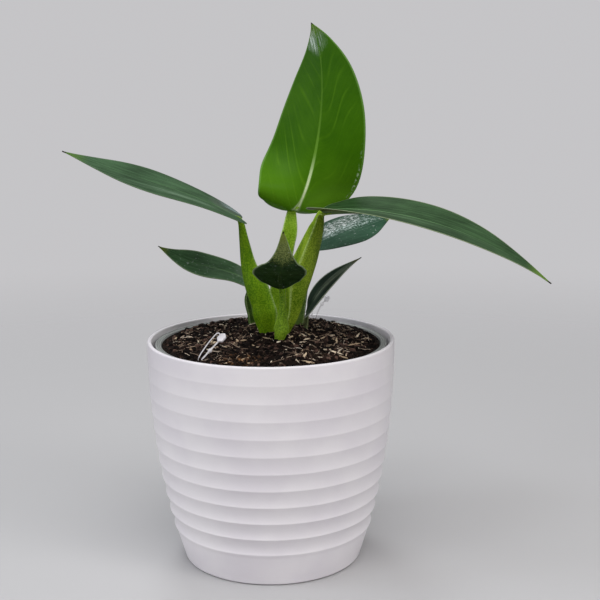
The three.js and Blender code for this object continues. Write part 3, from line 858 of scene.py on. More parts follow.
print("each blade has", 2 * (BLADE_ROWS - 1) * (2 * BLADE_COLUMNS + 2), "points on its sides")

# %% Blade rings


def round_blade(left, top, right, bottom):
    """Rows round the blade: its left margin, upper side, right margin and lower side."""
    return np.concatenate([left, top, right, bottom[:, ::-1]], axis=1)


def laid_round(values):
    """Values of the sheet laid round the blade and closed, for its UV map."""
    ring = round_blade(values[:, :1], values, values[:, -1:], values)
    return np.concatenate([ring, values[:, :1]], axis=1)


def blade_rings(leaf):
    """Rings round the blade, with the place on the blade and the side of each point."""
    sheet = blade_sheet(leaf)
    top, bottom = blade_sides(leaf, sheet)
    overhang = np.minimum(np.abs(sheet.lateral[:, -1])[:, None, None], MARGIN_THICK / 2)
    left_edge = sheet.middle[:, :1] - unit(sheet.side[:, :1]) * overhang
    right_edge = sheet.middle[:, -1:] + unit(sheet.side[:, -1:]) * overhang
    across = laid_round(sheet.lateral / leaf["half"]) * 0.5 + 0.5
    ones = np.ones_like(sheet.along)
    one, half = ones[:, :1], 0.5 * ones[:, :1]
    attributes = {
        "under": round_blade(half, 0 * ones, half, ones),
        "margin": round_blade(one, sheet.out * ones, one, sheet.out * ones),
    }
    uv = np.stack([across, laid_round(sheet.along)], axis=-1)
    return round_blade(left_edge, top, right_edge, bottom), uv, attributes


print("rings of the left blade:", blade_rings(LEAVES["left"])[0].shape)

# %% [markdown]
# ## Leaf finish
#
# A leaf's upper side is a waxy green. The midrib is a pale line that narrows to the tip, the
# side veins are fainter, and fine streaks run with them or lengthwise. Some leaves carry a pale
# band, a painted reflection where their wax would mirror the light, and the left one has a
# painted sheen at its base. The upright one has a painted glint at the base of its midrib, its
# base painted lighter against its shade and painted glints along one margin. The margin is a
# thin pale line, and the tip turns yellow before its dark point. The underside is duller and
# mottled; the front leaf's is darkened with painted shade, and its far end is painted lighter,
# as if lit through from behind. The coat is wet in one oval only, and on two leaves it breaks
# into flecks. A picture could be laid on, but it would hold its own light. So one recipe takes
# each leaf's own look, and the seven differ as they do on a real plant: the youngest is bright
# and clear, the old ones are dark and greyish, a grey that is partly painted reflection of the
# pale surroundings.

# %% Leaf looks
# deep and light are mixed in the body; vein, rib, margin, tip and under are the colours of those
# parts. Shares from 0 to 1: edging of the margin, veins, streaks, long (streaks that run
# lengthwise), fade towards the tip, base (painted light at the base) and sheen (a painted
# reflection at the base of the blade), rib_glow (a painted glint at the base of the midrib),
# tip_share, beads (painted glints along one margin), specks of dust, and speckled, which
# breaks the gloss and the band into flecks. rib_width is in parts of the neck, rib_reach is how
# soon the midrib dims, and wet_along how fine the flecks of gloss are. rough, shine and coat go
# to the shader.
# gloss: along, x, reach along, reach x. band, a painted reflection: x, reach, begins, ends,
# colour. far, the far end painted lighter, as if lit through from behind: starts, is full,
# colour.
PLAIN_LOOK = {
    "deep": (0.030, 0.080, 0.022), "light": (0.050, 0.120, 0.040), "vein": (0.085, 0.17, 0.075),
    "rib": (0.12, 0.22, 0.10), "under": (0.05, 0.10, 0.02), "tip": (0.16, 0.20, 0.03),
    "margin": (0.24, 0.31, 0.18), "edging": 0.7, "veins": 0.25, "streaks": 0.6, "long": 0.8,
    "rib_width": 0.42, "rib_reach": 0.8, "rib_glow": 0.0, "rough": 0.36, "shine": 0.06,
    "coat": 0.5, "gloss": (0.06, 0.7, 0.14, 0.35), "wet_along": 26.0, "speckled": 0.0,
    "specks": 0.0, "beads": 0.0, "sheen": 0.0, "base": 0.0, "fade": 0.0, "tip_share": 0.7,
    "band": None, "far": None,
}
LEAF_LOOKS = {
    "upright": {
        "deep": (0.023, 0.086, 0.001), "light": (0.040, 0.124, 0.002), "vein": (0.11, 0.25, 0.01),
        "rib": (0.19, 0.36, 0.05), "under": (0.10, 0.22, 0.04), "margin": (0.14, 0.27, 0.06),
        "rough": 0.30, "veins": 0.42, "long": 0.0, "beads": 0.8, "streaks": 0.25, "edging": 0.5,
        "rib_width": 0.36, "rib_reach": 1.4, "rib_glow": 0.8, "fade": 0.15, "base": 0.85,
        "gloss": (0.915, 0.49, 0.09, 0.13), "coat": 1.0, "shine": 0.04, "tip_share": 0.2,
        "speckled": 0.75, "wet_along": 7.0,
    },
    "left": {
        "deep": (0.010, 0.034, 0.010), "light": (0.056, 0.128, 0.054), "rib": (0.07, 0.14, 0.06),
        "tip": (0.07, 0.15, 0.012), "margin": (0.10, 0.15, 0.08), "veins": 0.08, "sheen": 0.8,
        "band": (0.27, 0.10, 0.15, 0.62, (0.13, 0.21, 0.13)),
    },
    "right": {
        "deep": (0.008, 0.026, 0.007), "light": (0.048, 0.108, 0.040), "under": (0.13, 0.14, 0.05),
        "margin": (0.28, 0.33, 0.20), "tip": (0.13, 0.24, 0.02), "veins": 0.10,
        "band": (0.66, 0.09, 0.12, 0.55, (0.085, 0.16, 0.075)),
    },
    # Front: the dark under and rib are painted shade, and far is painted light at its end.
    "front": {
        "under": (0.022, 0.052, 0.016), "rib": (0.025, 0.05, 0.013), "margin": (0.28, 0.37, 0.20),
        "far": (0.71, 0.86, (0.21, 0.255, 0.075)), "specks": 0.7, "rough": 0.5, "long": 0.0,
    },
    "small_left": {
        "deep": (0.022, 0.062, 0.020), "light": (0.080, 0.175, 0.075), "specks": 0.9, "veins": 0.10,
        "band": (0.5, 0.10, 0.1, 0.6, (0.07, 0.15, 0.065)),
    },
    "back_right": {
        "deep": (0.011, 0.044, 0.023), "light": (0.040, 0.102, 0.058), "vein": (0.06, 0.12, 0.09),
        "rib": (0.04, 0.10, 0.06), "margin": (0.05, 0.09, 0.06), "shine": 0.02, "rough": 0.32,
        "specks": 0.9, "gloss": (0.48, 0.24, 0.5, 0.19), "coat": 1.0, "speckled": 1.0,
        "veins": 0.12, "band": (0.40, 0.15, 0.25, 0.80, (0.72, 0.86, 0.82)),
    },
    "small_right": {
        "deep": (0.010, 0.024, 0.015), "light": (0.034, 0.065, 0.045), "vein": (0.08, 0.12, 0.09),
        "rib": (0.05, 0.10, 0.06), "tip": (0.10, 0.085, 0.02), "margin": (0.45, 0.50, 0.40),
        "streaks": 0.9, "edging": 0.9, "veins": 0.1,
        "band": (0.54, 0.20, 0.38, 0.9, (0.36, 0.40, 0.32)),
    },
}
print("looks:", len(LEAF_LOOKS), "of", len(PLAIN_LOOK), "settings each")

# %% Places and patterns on a blade
# Each pattern: how fine it is in waves per metre, the ends of its soft step, detail, roughness.
PATTERNS = {
    "cloud": (45.0, 0.3, 0.7, 4.0, 0.5),
    "gaps": (60.0, 0.35, 0.6, 2.0, 0.5),
    "mottle": (230.0, 0.42, 0.6, 4.0, 0.6),
    # bead is the pattern of the painted glints along one margin.
    "bead": (520.0, 0.5, 0.6, 3.0, 0.5),
    "speck": (620.0, 0.68, 0.73, 1.0, 0.5),
    "fleck": (900.0, 0.46, 0.58, 3.0, 0.65),
    "grain": (1500.0, 0.40, 0.62, 3.0, 0.5),
}
VEIN_HALF = 0.14
RIB_LEAST = 0.28


def blade_places(plan, leaf, look):
    """Where a point lies on its blade, as wires that all parts of the recipe share."""
    on = SimpleNamespace(leaf=leaf, look=look, place=object_place(plan))
    on.x, on.along, _ = plan.split(plan.node("ShaderNodeUVMap", {"uv_map": "surface"}))
    on.share = on.x * 2 - 1
    on.across = plan.maths("ABSOLUTE", on.share)
    on.right_half = plan.maths("GREATER_THAN", on.x, 0.5)
    on.under = plan.smooth(plan.kept("under"), 0.4, 0.6)
    on.reach = plan.kept("margin")
    for name, numbers in PATTERNS.items():
        setattr(on, name, plan.patches(on.place, *numbers))
    width = (1 - on.along) ** 2 * (leaf["neck"] * look["rib_width"]) + RIB_LEAST
    on.rib = 1 - plan.smooth(on.across * leaf["half"] / width, 0.5, 1.2)
    return on


def add_veins(plan, on):
    """Side veins that break up, stay off the margin and fade towards the tip."""
    on.phase = vein_phase(on.along, on.share, on.across, on.right_half, plan.sine)
    line = plan.near(on.phase, plan.maths("ROUND", on.phase), VEIN_HALF)
    inner = 1 - plan.smooth(on.reach, 0.6, 0.95)
    on.side_vein = line * inner * (1.1 - on.along) * on.gaps


def add_streaks(plan, on):
    """Short streaks run with the side veins, and long ones run lengthwise."""
    with_veins = plan.join(on.phase * 3.0, on.across * 1.2, on.right_half * 9.0)
    short = plan.patches(with_veins, 3.0, 0.36, 0.64, 4.0, 0.6)
    lengthwise = plan.join(on.along * 4.5 + on.across * 1.5, on.x * 34, 2.0)
    on.long = plan.patches(lengthwise, 1.0, 0.38, 0.66, 4.0, 0.6)
    on.streak = on.long * on.look["long"] + short * (1 - on.look["long"])


print("patterns:", ", ".join(PATTERNS))

# %% Upper side
BLACK = (0.0, 0.0, 0.0)
# Painted light lifts the base to these greens, most on the right half, which turns from the lights.
LIT_BASE_LEFT_GREEN = (0.115, 0.295, 0.010)
LIT_BASE_RIGHT_GREEN = (0.25, 0.58, 0.026)
# Painted sheen: a grey reflection at the base of a blade.
PAINTED_SHEEN_GREY = (0.40, 0.52, 0.54)
# Painted highlight: the glint at the base of the upright leaf's midrib.
PAINTED_GLINT_CREAM = (0.72, 0.82, 0.52)
GLINT_WIDE, GLINT_NARROW = 3.6, 1.0


def body_green(plan, on):
    """Deep and light green in clouds and streaks, darker to the tip, and painted light at the base."""
    look = on.look
    shade = on.cloud * (1 - look["streaks"]) + on.streak * look["streaks"]
    body = plan.mix(shade, look["deep"], look["light"])
    body = plan.mix(plan.smooth(on.along, 0.0, 1.0) * look["fade"], body, BLACK)
    base = plan.mix(plan.smooth(on.x, 0.45, 0.8), LIT_BASE_LEFT_GREEN, LIT_BASE_RIGHT_GREEN)
    return plan.mix((1 - plan.smooth(on.along, -0.1, 0.5)) * look["base"], body, base)


def add_band(plan, on, body):
    """Painted reflection: a pale band along the blade, streaked, flecked on a speckled leaf."""
    band_x, band_reach, begins, ends, reflection_colour = on.look["band"]
    inside = plan.near(on.x, band_x, band_reach)
    inside = inside * plan.smooth(on.along, begins - 0.1, begins + 0.1)
    inside = inside * (1 - plan.smooth(on.along, ends - 0.15, ends + 0.2))
    inside = inside * (0.25 + on.long * 0.65)
    return plan.mix(inside * (1 - (1 - on.fleck) * on.look["speckled"]), body, reflection_colour)


def base_glow(plan, on):
    """The painted glint at the base of the midrib: a streaky fan that narrows to a line."""
    # Painted highlight, strongest near the base of the midrib.
    glow = plan.smooth(on.along, 0.0, 0.03) * (1 - plan.smooth(on.along, 0.24, 0.42))
    spread = GLINT_WIDE - plan.smooth(on.along, 0.0, 0.16) * (GLINT_WIDE - GLINT_NARROW)
    core = 1 - plan.smooth(on.across * on.leaf["half"] / spread, 0.35, 1.0)
    rays = plan.patches(plan.join(on.along * 4, on.x * 80, 7.5), 1.0, 0.38, 0.56, 3.0, 0.6)
    fan = plan.maths("MAXIMUM", rays * 0.65 + 0.35, plan.smooth(on.along, 0.10, 0.18))
    return core * glow * on.look["rib_glow"] * fan


def upper_side(plan, on):
    """The body with its painted band and sheen, its veins, the midrib and the painted glint."""
    look = on.look
    body = body_green(plan, on)
    if look["band"]:
        body = add_band(plan, on, body)
    # Painted sheen: a grey reflection mixed in at the base of the blade.
    sheen = plan.smooth(on.x, 0.60, 0.78) * (1 - plan.smooth(on.along, 0.04, 0.12))
    body = plan.mix(sheen * look["sheen"] * on.long, body, PAINTED_SHEEN_GREY)
    veined = plan.mix(on.side_vein * look["veins"], body, look["vein"])
    clear = plan.maths("MAXIMUM", 1 - on.along * look["rib_reach"], 0.16)
    ribbed = plan.mix(on.rib * clear, veined, look["rib"])
    return plan.mix(base_glow(plan, on), ribbed, PAINTED_GLINT_CREAM)


print("the glow narrows from", GLINT_WIDE, "to", GLINT_NARROW, "mm")

# %% Underside, margin and tip
UNDER_SHADE = (0.2, 0.3, 0.2)
POINT_BROWN = (0.02, 0.016, 0.008)
DUST_GREY = (0.42, 0.47, 0.44)
# Painted highlight: the glints along one margin.
MARGIN_GLINT_PALE = (0.62, 0.75, 0.55)


def underside(plan, on):
    """The duller lower side, mottled and grained, with a paler keel."""
    dull = plan.mix(on.mottle * 0.6 + on.grain * 0.3, on.look["under"], UNDER_SHADE, "MULTIPLY")
    return plan.mix(on.rib * 0.5 + on.side_vein * 0.2, dull, on.look["rib"])


def add_far_end(plan, on, colour):
    """The far end painted lighter, as if lit from behind; it starts further out beside the midrib."""
    start, end, lit_far_colour = on.look["far"]
    far = plan.smooth(on.along - on.across * 0.12 + on.grain * 0.1, start, end)
    return plan.mix(far * (0.4 + on.grain * 0.6), colour, lit_far_colour)


def add_edges(plan, on, colour):
    """The pale margin, the tip and its dark point, dust, and painted glints along one margin."""
    look, half = on.look, on.leaf["half"]
    edging = plan.smooth(on.reach, 1 - 1.2 / half, 1 - 0.3 / half)
    colour = plan.mix(edging * look["edging"], colour, look["margin"])
    colour = plan.mix(plan.smooth(on.along, 0.90, 0.97) * look["tip_share"], colour, look["tip"])
    colour = plan.mix(plan.smooth(on.along, 0.982, 0.992), colour, POINT_BROWN)
    colour = plan.mix(on.speck * look["specks"] * 0.5, colour, DUST_GREY)
    # Painted highlights: flecks of light where one margin curls.
    beads = plan.near(on.reach, 0.94, 0.035) * on.right_half * on.bead
    beads = beads * (1 - plan.smooth(on.along, 0.25, 0.5))
    return plan.mix(beads * (1 - on.under) * look["beads"], colour, MARGIN_GLINT_PALE)


print("the point of each tip is", POINT_BROWN)

# %% Gloss and the whole leaf


def wet_coat(plan, on):
    """The coat: an oval on the upper side, broken into flecks on a speckled leaf."""
    mid_along, mid_x, reach_along, reach_x = on.look["gloss"]
    away = ((on.along - mid_along) / reach_along) ** 2 + ((on.x - mid_x) / reach_x) ** 2
    away = away + (plan.noise(on.place, 130.0) - 0.5) * on.look["speckled"] * 1.6
    wet_place = plan.join(on.along * on.look["wet_along"], on.x * 60)
    wet = plan.patches(wet_place, 1.0, 0.47, 0.60, 3.0, 0.65)
    oval = (1 - plan.smooth(away, 0.2, 1.0)) * (1 - on.under)
    return oval * (1 - (1 - wet) * on.look["speckled"]) * on.look["coat"]


def leaf_green(plan, leaf, look):
    """The recipe of one leaf's blade, from its measures and its look."""
    on = blade_places(plan, leaf, look)
    add_veins(plan, on)
    add_streaks(plan, on)
    colour = plan.mix(on.under, upper_side(plan, on), underside(plan, on))
    if look["far"]:
        colour = add_far_end(plan, on, colour)
    relief = on.side_vein * -0.6 + on.streak * 0.2 + plan.noise(on.place, 420.0) * 0.4
    return {
        "Base Color": add_edges(plan, on, colour),
        "Roughness": look["rough"] + plan.noise(on.place, 220.0) * 0.12,
        "Normal": plan.bump(relief + on.speck * look["specks"], 0.35, 0.0003),
        "Specular IOR Level": look["shine"],
        "Coat Weight": wet_coat(plan, on),
        "Coat Roughness": 0.14,
    }


for name, leaf in LEAVES.items():
    rings, uv, attributes = blade_rings(leaf)
    look = {**PLAIN_LOOK, **LEAF_LOOKS[name]}
    finish = new_finish("leaf_" + name, leaf_green, leaf, look)
    blade = skin_piece("leaf_blade_" + name, rings, finish, attributes, uv)
    settle(blade, leaf["slot"], "blade_" + name)

# %% [markdown]
# ## Stalks
#
# The stalks are what this plant is known for: they are swollen like a spongy bottle in the
# middle, round at the back and flat in front, with two crisp pale edges. A curve with a bevel
# could make a round stalk, but not this section. So each one is a sweep of the section along
# its middle line, and the last ring turns into the line of the midrib.

# %% Stalk mesh
STALK_LATERAL = 0.5
STALK_BACK = 0.41
STALK_FLAT = 0.39
STALK_GROOVE = 0.07
STALK_EDGE = 0.06
STALK_ROWS = 70
NECK_BEND = {"drop": 0.45, "back": 0.5}
NECK_END = {"drop": 0.3, "ahead": 0.9, "width": 0.6}


def stalk_section():
    """The section for a stalk 1 wide, as lateral and forward places, with its corners eased."""
    arc = np.linspace(0.0, math.pi, 17)
    depth = STALK_FLAT - (STALK_FLAT + STALK_BACK) * np.sin(arc)
    back = np.stack([STALK_LATERAL * np.cos(arc), depth], -1)
    lateral = np.linspace(-STALK_LATERAL, STALK_LATERAL, 9)[1:-1]
    groove = STALK_GROOVE * (1 - (lateral / STALK_LATERAL) ** 2)
    front = np.stack([lateral, STALK_FLAT - groove], -1)
    ring = np.vstack([back, front])
    ahead = np.roll(ring, -1, axis=0)
    eased = np.stack([0.75 * ring + 0.25 * ahead, 0.25 * ring + 0.75 * ahead], axis=1)
    return eased.reshape(-1, 2)


def stalk_stations(leaf):
    """The stalk's x, y, z and width, with the neck's bend and its end in the midrib."""
    start, tangent, up, _ = (part[0] for part in rib_frame(leaf, np.array([0.0])))
    neck = leaf["neck"]
    bend = start - up * NECK_BEND["drop"] * neck - tangent * NECK_BEND["back"] * neck
    end = start - up * NECK_END["drop"] * neck + tangent * NECK_END["ahead"] * neck
    return np.array([*leaf["stalk"], (*bend, neck), (*end, NECK_END["width"] * neck)])


def stalk_rings(leaf):
    """Rings round the stalk, with a 1 at each point on its two edges."""
    stations, t = stalk_stations(leaf), np.linspace(0, 1, STALK_ROWS)
    centre = spline(stations[:, :3], t, straight_ends=True)
    width = spline(stations[:, 3:], t)
    tangents = unit(np.gradient(centre, axis=0))
    tangents[0] = (0, 0, 1)
    looks = np.broadcast_to(np.asarray(leaf["stalk_face"], dtype=float), centre.shape)
    flat = unit(looks - (looks * tangents).sum(-1, keepdims=True) * tangents)
    side = np.cross(tangents, flat)
    section = stalk_section()
    rings = centre[:, None] + side[:, None] * (width * section[:, 0])[..., None]
    rings = rings + flat[:, None] * (width * section[:, 1])[..., None]
    corner = np.hypot(np.abs(section[:, 0]) - STALK_LATERAL, section[:, 1] - STALK_FLAT)
    edge = np.broadcast_to(np.exp(-((corner / STALK_EDGE) ** 2)), rings.shape[:2])
    return rings, {"edge": edge.copy()}


print("the stalk's section has", len(stalk_section()), "points")

# %% [markdown]
# ## Stalk finish
#
# A stalk is a paler and warmer green than its blade, with fine light speckles and soft clouds
# that run lengthwise. Its two edges are nearly cream: a pale margin, flecked with a painted
# highlight. Finding the edges in the shader would need the slope of the surface, so the mesh
# keeps a number that is 1 on them.

# %% Stalk finish
EDGE_CREAM_AND_GLINT = (0.70, 0.82, 0.46)
STALK_LOOKS = {
    "left": {"deep": (0.040, 0.118, 0.001), "light": (0.17, 0.30, 0.008)},
    "upright": {"deep": (0.12, 0.26, 0.006), "light": (0.34, 0.54, 0.04)},
    "right": {"deep": (0.060, 0.140, 0.002), "light": (0.34, 0.48, 0.035)},
    "front": {"deep": (0.040, 0.115, 0.002), "light": (0.27, 0.44, 0.030)},
    "small_left": {"deep": (0.05, 0.11, 0.02), "light": (0.12, 0.20, 0.04)},
    # small_left is darker than the others: painted shade, as it stands behind the left stalk.
    "back_right": {"deep": (0.06, 0.12, 0.02), "light": (0.14, 0.22, 0.05)},
    "small_right": {"deep": (0.12, 0.15, 0.05), "light": (0.22, 0.25, 0.12)},
}


def stalk_green(plan, look):
    """Fine speckles, clouds that run with the stalk, and two pale edges, partly painted highlight."""
    place = object_place(plan)
    speckle = plan.patches(place, 1300.0, 0.42, 0.60)
    cloud = plan.patches(plan.stretch(place, (1.0, 1.0, 0.4)), 120.0, 0.3, 0.7, 4.0)
    body = plan.mix(cloud * 0.5 + speckle * 0.5, look["deep"], look["light"])
    pale = plan.mix(0.5, look["light"], EDGE_CREAM_AND_GLINT)
    return {
        # The edges: a pale margin, flecked with painted highlight.
        "Base Color": plan.mix(plan.kept("edge") * (0.45 + speckle * 0.5), body, pale),
        "Roughness": 0.42 + speckle * 0.1,
        "Normal": plan.bump(speckle * 0.5 + cloud, 0.3, 0.0003),
        "Specular IOR Level": 0.08,
    }


for name, leaf in LEAVES.items():
    rings, attributes = stalk_rings(leaf)
    finish = new_finish("stalk_" + name + "_green", stalk_green, STALK_LOOKS[name])
    stalk = skin_piece("leaf_stalk_" + name, rings, finish, attributes)
    settle(stalk, "stalk_green", "stalk_" + name)

# %% [markdown]
# ## The peat
#
# The potting mix is a mound of dark peat crumbs with coir fibres and pale chips. Its body is
# one closed mesh with a rough top. A Displace modifier could roughen it, but then nothing else
# could ask how high it is at a place, and the crumbs have to know.

# %% Peat surface
SOIL_EDGE_Z = 124.4
SOIL_RISE = 4.7
SOIL_TOP_RADIUS = grower_radius(SOIL_EDGE_Z) - GAP
SOIL_FOOT_Z = GROWER_FOOT_Z + GROWER_WALL + GAP
SOIL_FOOT_RADIUS = grower_radius(SOIL_FOOT_Z) - GAP
SOIL_FOOT_BEVEL = 1.5
SOIL_SPOKES = 200
SOIL_ROWS = 64
# The innermost ring, in parts of the outermost.
SOIL_MIDDLE = 0.004
# Low heaps on the mound: x, y, rise and reach.
HEAPS = [(4.0, 2.0, 2.5, 20.0), (20.0, 38.0, 2.0, 13.0), (-20.0, 42.0, 1.8, 12.0)]
SOIL_CURVE = 0.7
LUMP_RISE = 1.3
LUMP_SCALE = 0.22
# How rough the lumps are, how much finer each layer of them is, and how many layers there are.
LUMP_LAYERS = (0.8, 2.1, 4)
CALM_EDGE = 4.0


def soil_height(x, y):
    """The smooth mound, before crumbs."""
    out = np.minimum(np.hypot(x, y) / GROWER_MOUTH_RADIUS, 1.0)
    height = SOIL_EDGE_Z + SOIL_RISE * (1 - out**2) ** SOIL_CURVE
    for heap_x, heap_y, rise, reach in HEAPS:
        height = height + rise * np.exp(-((x - heap_x) ** 2 + (y - heap_y) ** 2) / reach**2)
    return height


def rough_height(x, y):
    """The mound with lumps a few millimetres across, which calm down at the wall."""
    lump = noise.fractal(Vector((x * LUMP_SCALE, y * LUMP_SCALE, 3.0)), *LUMP_LAYERS)
    calm = min(1.0, (SOIL_TOP_RADIUS - math.hypot(x, y)) / CALM_EDGE)
    return float(soil_height(x, y)) + LUMP_RISE * lump * max(calm, 0.0)


def round_places(radius, spokes):
    angles = [k * 2 * math.pi / spokes for k in range(spokes)]
    return [(radius * math.cos(angle), radius * math.sin(angle)) for angle in angles]


def soil_rings():
    """From the foot up the wall, then inwards over the rough top."""
    edge = SOIL_FOOT_BEVEL
    foot = [(SOIL_FOOT_RADIUS - edge, SOIL_FOOT_Z), (SOIL_FOOT_RADIUS, SOIL_FOOT_Z + edge)]
    rings = [[(x, y, z) for x, y in round_places(radius, SOIL_SPOKES)] for radius, z in foot]
    for share in np.linspace(1.0, SOIL_MIDDLE, SOIL_ROWS):
        places = round_places(SOIL_TOP_RADIUS * share, SOIL_SPOKES)
        rings.append([(x, y, rough_height(x, y)) for x, y in places])
    return np.array(rings)


print("the mound is", round(rough_height(0.0, 0.0), 1), "mm high in the middle")

# %% Peat finish
PEAT_STOPS = [
    (0.3, (0.003, 0.002, 0.0015)), (0.55, (0.010, 0.006, 0.004)), (0.7, (0.035, 0.021, 0.014)),
]


def peat_dark(plan):
    """Nearly black peat between the crumbs, with a deep grain."""
    mottle = plan.noise(object_place(plan), 420.0, 5.0, 0.6)
    return {
        "Base Color": plan.ramp(PEAT_STOPS, mottle),
        "Roughness": 0.95,
        "Normal": plan.bump(mottle, 0.8, 0.0012),
        "Specular IOR Level": 0.1,
    }


soil = skin_piece("peat_body", soil_rings(), new_finish("dark_peat", peat_dark))
settle(soil, "peat", "soil")

# %% [markdown]
# ## Shapes to scatter
#
# Under a lens, the top of the peat is lumps of many sizes, curled threads and split chips.
# Thousands can't be modelled one by one, and a particle system would copy one shape. So a few
# of each kind are made from seeded random numbers, and the scatter picks among them.

# %% Crumb shapes
crumb_dice = random.Random(11)


def crumb_mesh(name, long, points=16):
    """A lump of peat: the skin round a few random points."""
    work = bmesh.new()
    for _ in range(points):
        way = Vector([crumb_dice.gauss(0, 1) for _ in range(3)]).normalized()
        size = crumb_dice.uniform(0.75, 1.0)
        work.verts.new((way.x * size * long, way.y * size, way.z * size * 0.8))
    bmesh.ops.convex_hull(work, input=work.verts)
    loose = [vert for vert in work.verts if not vert.link_faces]
    bmesh.ops.delete(work, geom=loose, context="VERTS")
    mesh = bpy.data.meshes.new(name)
    work.to_mesh(mesh)
    work.free()
    return mesh


crumb_shapes = [crumb_mesh("crumb", long) for long in (1.0, 1.2, 1.5, 1.1, 1.3, 1.8)]
print("crumb shapes:", len(crumb_shapes))

# %% Fibre and chip shapes
FIBRE_THICK = 0.22
# Length and curl of each fibre.
FIBRES = [(7, 0.2), (9, 0.35), (6, 0.5), (11, 0.25), (5, 0.7), (8, 0.15), (4, 0.4), (12, 0.3)]


def thread_line(length, curl, steps):
    """The middle line of a thread that curls at random, about flat and centred."""
    heading, place = crumb_dice.uniform(0, 2 * math.pi), np.zeros(3)
    turn = crumb_dice.uniform(-curl, curl)
    centres = []
    for _ in range(steps + 1):
        centres.append(place.copy())
        heading += turn + crumb_dice.uniform(-curl, curl) * 0.5
        rise = crumb_dice.uniform(-0.08, 0.12)
        place = place + np.array([math.cos(heading), math.sin(heading), rise]) * length / steps
    return np.array(centres) - np.mean(centres, axis=0) * (1, 1, 0)


def fibre_mesh(name, length, thick, curl, steps=8):
    """A thin curled thread with three sides, thinning to both ends."""
    centres = thread_line(length, curl, steps)
    verts, faces = [], [(2, 1, 0), (3 * steps, 3 * steps + 1, 3 * steps + 2)]
    for i, centre in enumerate(centres):
        slope = unit(centres[min(i + 1, steps)] - centres[max(i - 1, 0)])
        side = unit(np.cross(slope, (0, 0, 1)))
        top = np.cross(side, slope)
        radius = thick * (0.35 + 0.65 * math.sin(math.pi * (i + 0.5) / (steps + 1)))
        for angle in (0.0, 2 * math.pi / 3, 4 * math.pi / 3):
            verts.append(tuple(centre + radius * (side * math.cos(angle) + top * math.sin(angle))))
    for i in range(steps):
        for k in range(3):
            a, b = 3 * i + k, 3 * i + (k + 1) % 3
            faces.append((a, b, b + 3, a + 3))
    mesh = bpy.data.meshes.new(name)
    mesh.from_pydata(verts, [], faces)
    return mesh


fibre_shapes = [fibre_mesh("fibre", length, FIBRE_THICK, curl) for length, curl in FIBRES]
chip_shapes = [crumb_mesh("chip", long, 10) for long in (2.6, 3.6, 4.4, 5.5)]
print("fibre shapes:", len(fibre_shapes), "chip shapes:", len(chip_shapes))

# %% [markdown]
# ## The scatter
#
# Crumbs lie as they fell, turned and tilted at random and hardly inside each other. A loop in
# Python could place them, but Geometry Nodes keeps them apart and is much faster. The tree
# drops points on the peat, picks a shape, a turn and a size for each and stores a random tone
# on it for the colour. Its inputs are named, so that one tree serves the crumbs, the fibres and
# the chips. In the end only the plain mesh is kept.

# %% Scatter tree
SCATTER_INPUTS = {
    "Geometry": "Geometry", "Shapes": "Collection", "Finish": "Material", "Spacing": "Float",
    "Density": "Float", "Patches": "Float", "Smallest": "Float", "Largest": "Float",
    "Tumble": "Float", "Seed": "Int",
}
# What each random choice adds to the seed.
SEED_STEP = {"size": 3, "pick": 5, "tilt": 7, "tone": 9}


def scatter_points(plan, given):
    """Points on the peat that keep their distance, fewer in the patches."""
    plenty = plan.node("GeometryNodeInputNamedAttribute", {"data_type": "FLOAT"}, {"Name": "plenty"})
    sockets = {
        "Mesh": given["Geometry"], "Distance Min": given["Spacing"], "Density Max": given["Density"],
        "Density Factor": 1 - (1 - plenty) * given["Patches"], "Seed": given["Seed"],
    }
    poisson = {"distribute_method": "POISSON"}
    return plan.node("GeometryNodeDistributePointsOnFaces", poisson, sockets)


def any_number(plan, low, high, seed):
    return plan.node("FunctionNodeRandomValue", None, {2: low, 3: high, "Seed": seed}, out=1)


def turn_further(plan, rotation, axis, angle):
    """The rotation, turned further about its own axis."""
    turn = plan.node("FunctionNodeAxisAngleToRotation", None, {"Axis": axis, "Angle": angle})
    return plan.node("FunctionNodeRotateRotation", {"rotation_space": "LOCAL"}, {0: rotation, 1: turn})


def strewn_copies(plan, given):
    """A picked, turned and sized shape on each point, with its tone."""
    seed = {key: given["Seed"] + step for key, step in SEED_STEP.items()}
    points = scatter_points(plan, given)
    spin = any_number(plan, -math.pi, math.pi, given["Seed"])
    tilt = any_number(plan, -1.0, 1.0, seed["tilt"]) * given["Tumble"]
    flat = turn_further(plan, points.beside("Rotation"), (0, 0, 1), spin)
    sockets = {"Collection": given["Shapes"], "Separate Children": True, "Reset Children": True}
    shapes = plan.node("GeometryNodeCollectionInfo", None, sockets)
    sockets = {4: 0, 5: 99, "Seed": seed["pick"]}
    pick = plan.node("FunctionNodeRandomValue", {"data_type": "INT"}, sockets, out=2)
    copies = plan.node("GeometryNodeInstanceOnPoints", None, {
        "Points": points, "Instance": shapes, "Pick Instance": True, "Instance Index": pick,
        "Rotation": turn_further(plan, flat, (1, 0, 0), tilt),
        "Scale": any_number(plan, given["Smallest"], given["Largest"], seed["size"]),
    })
    tone = any_number(plan, 0.0, 1.0, seed["tone"])
    store = {"data_type": "FLOAT", "domain": "INSTANCE"}
    sockets = {"Geometry": copies, "Name": "tone", "Value": tone}
    return plan.node("GeometryNodeStoreNamedAttribute", store, sockets)


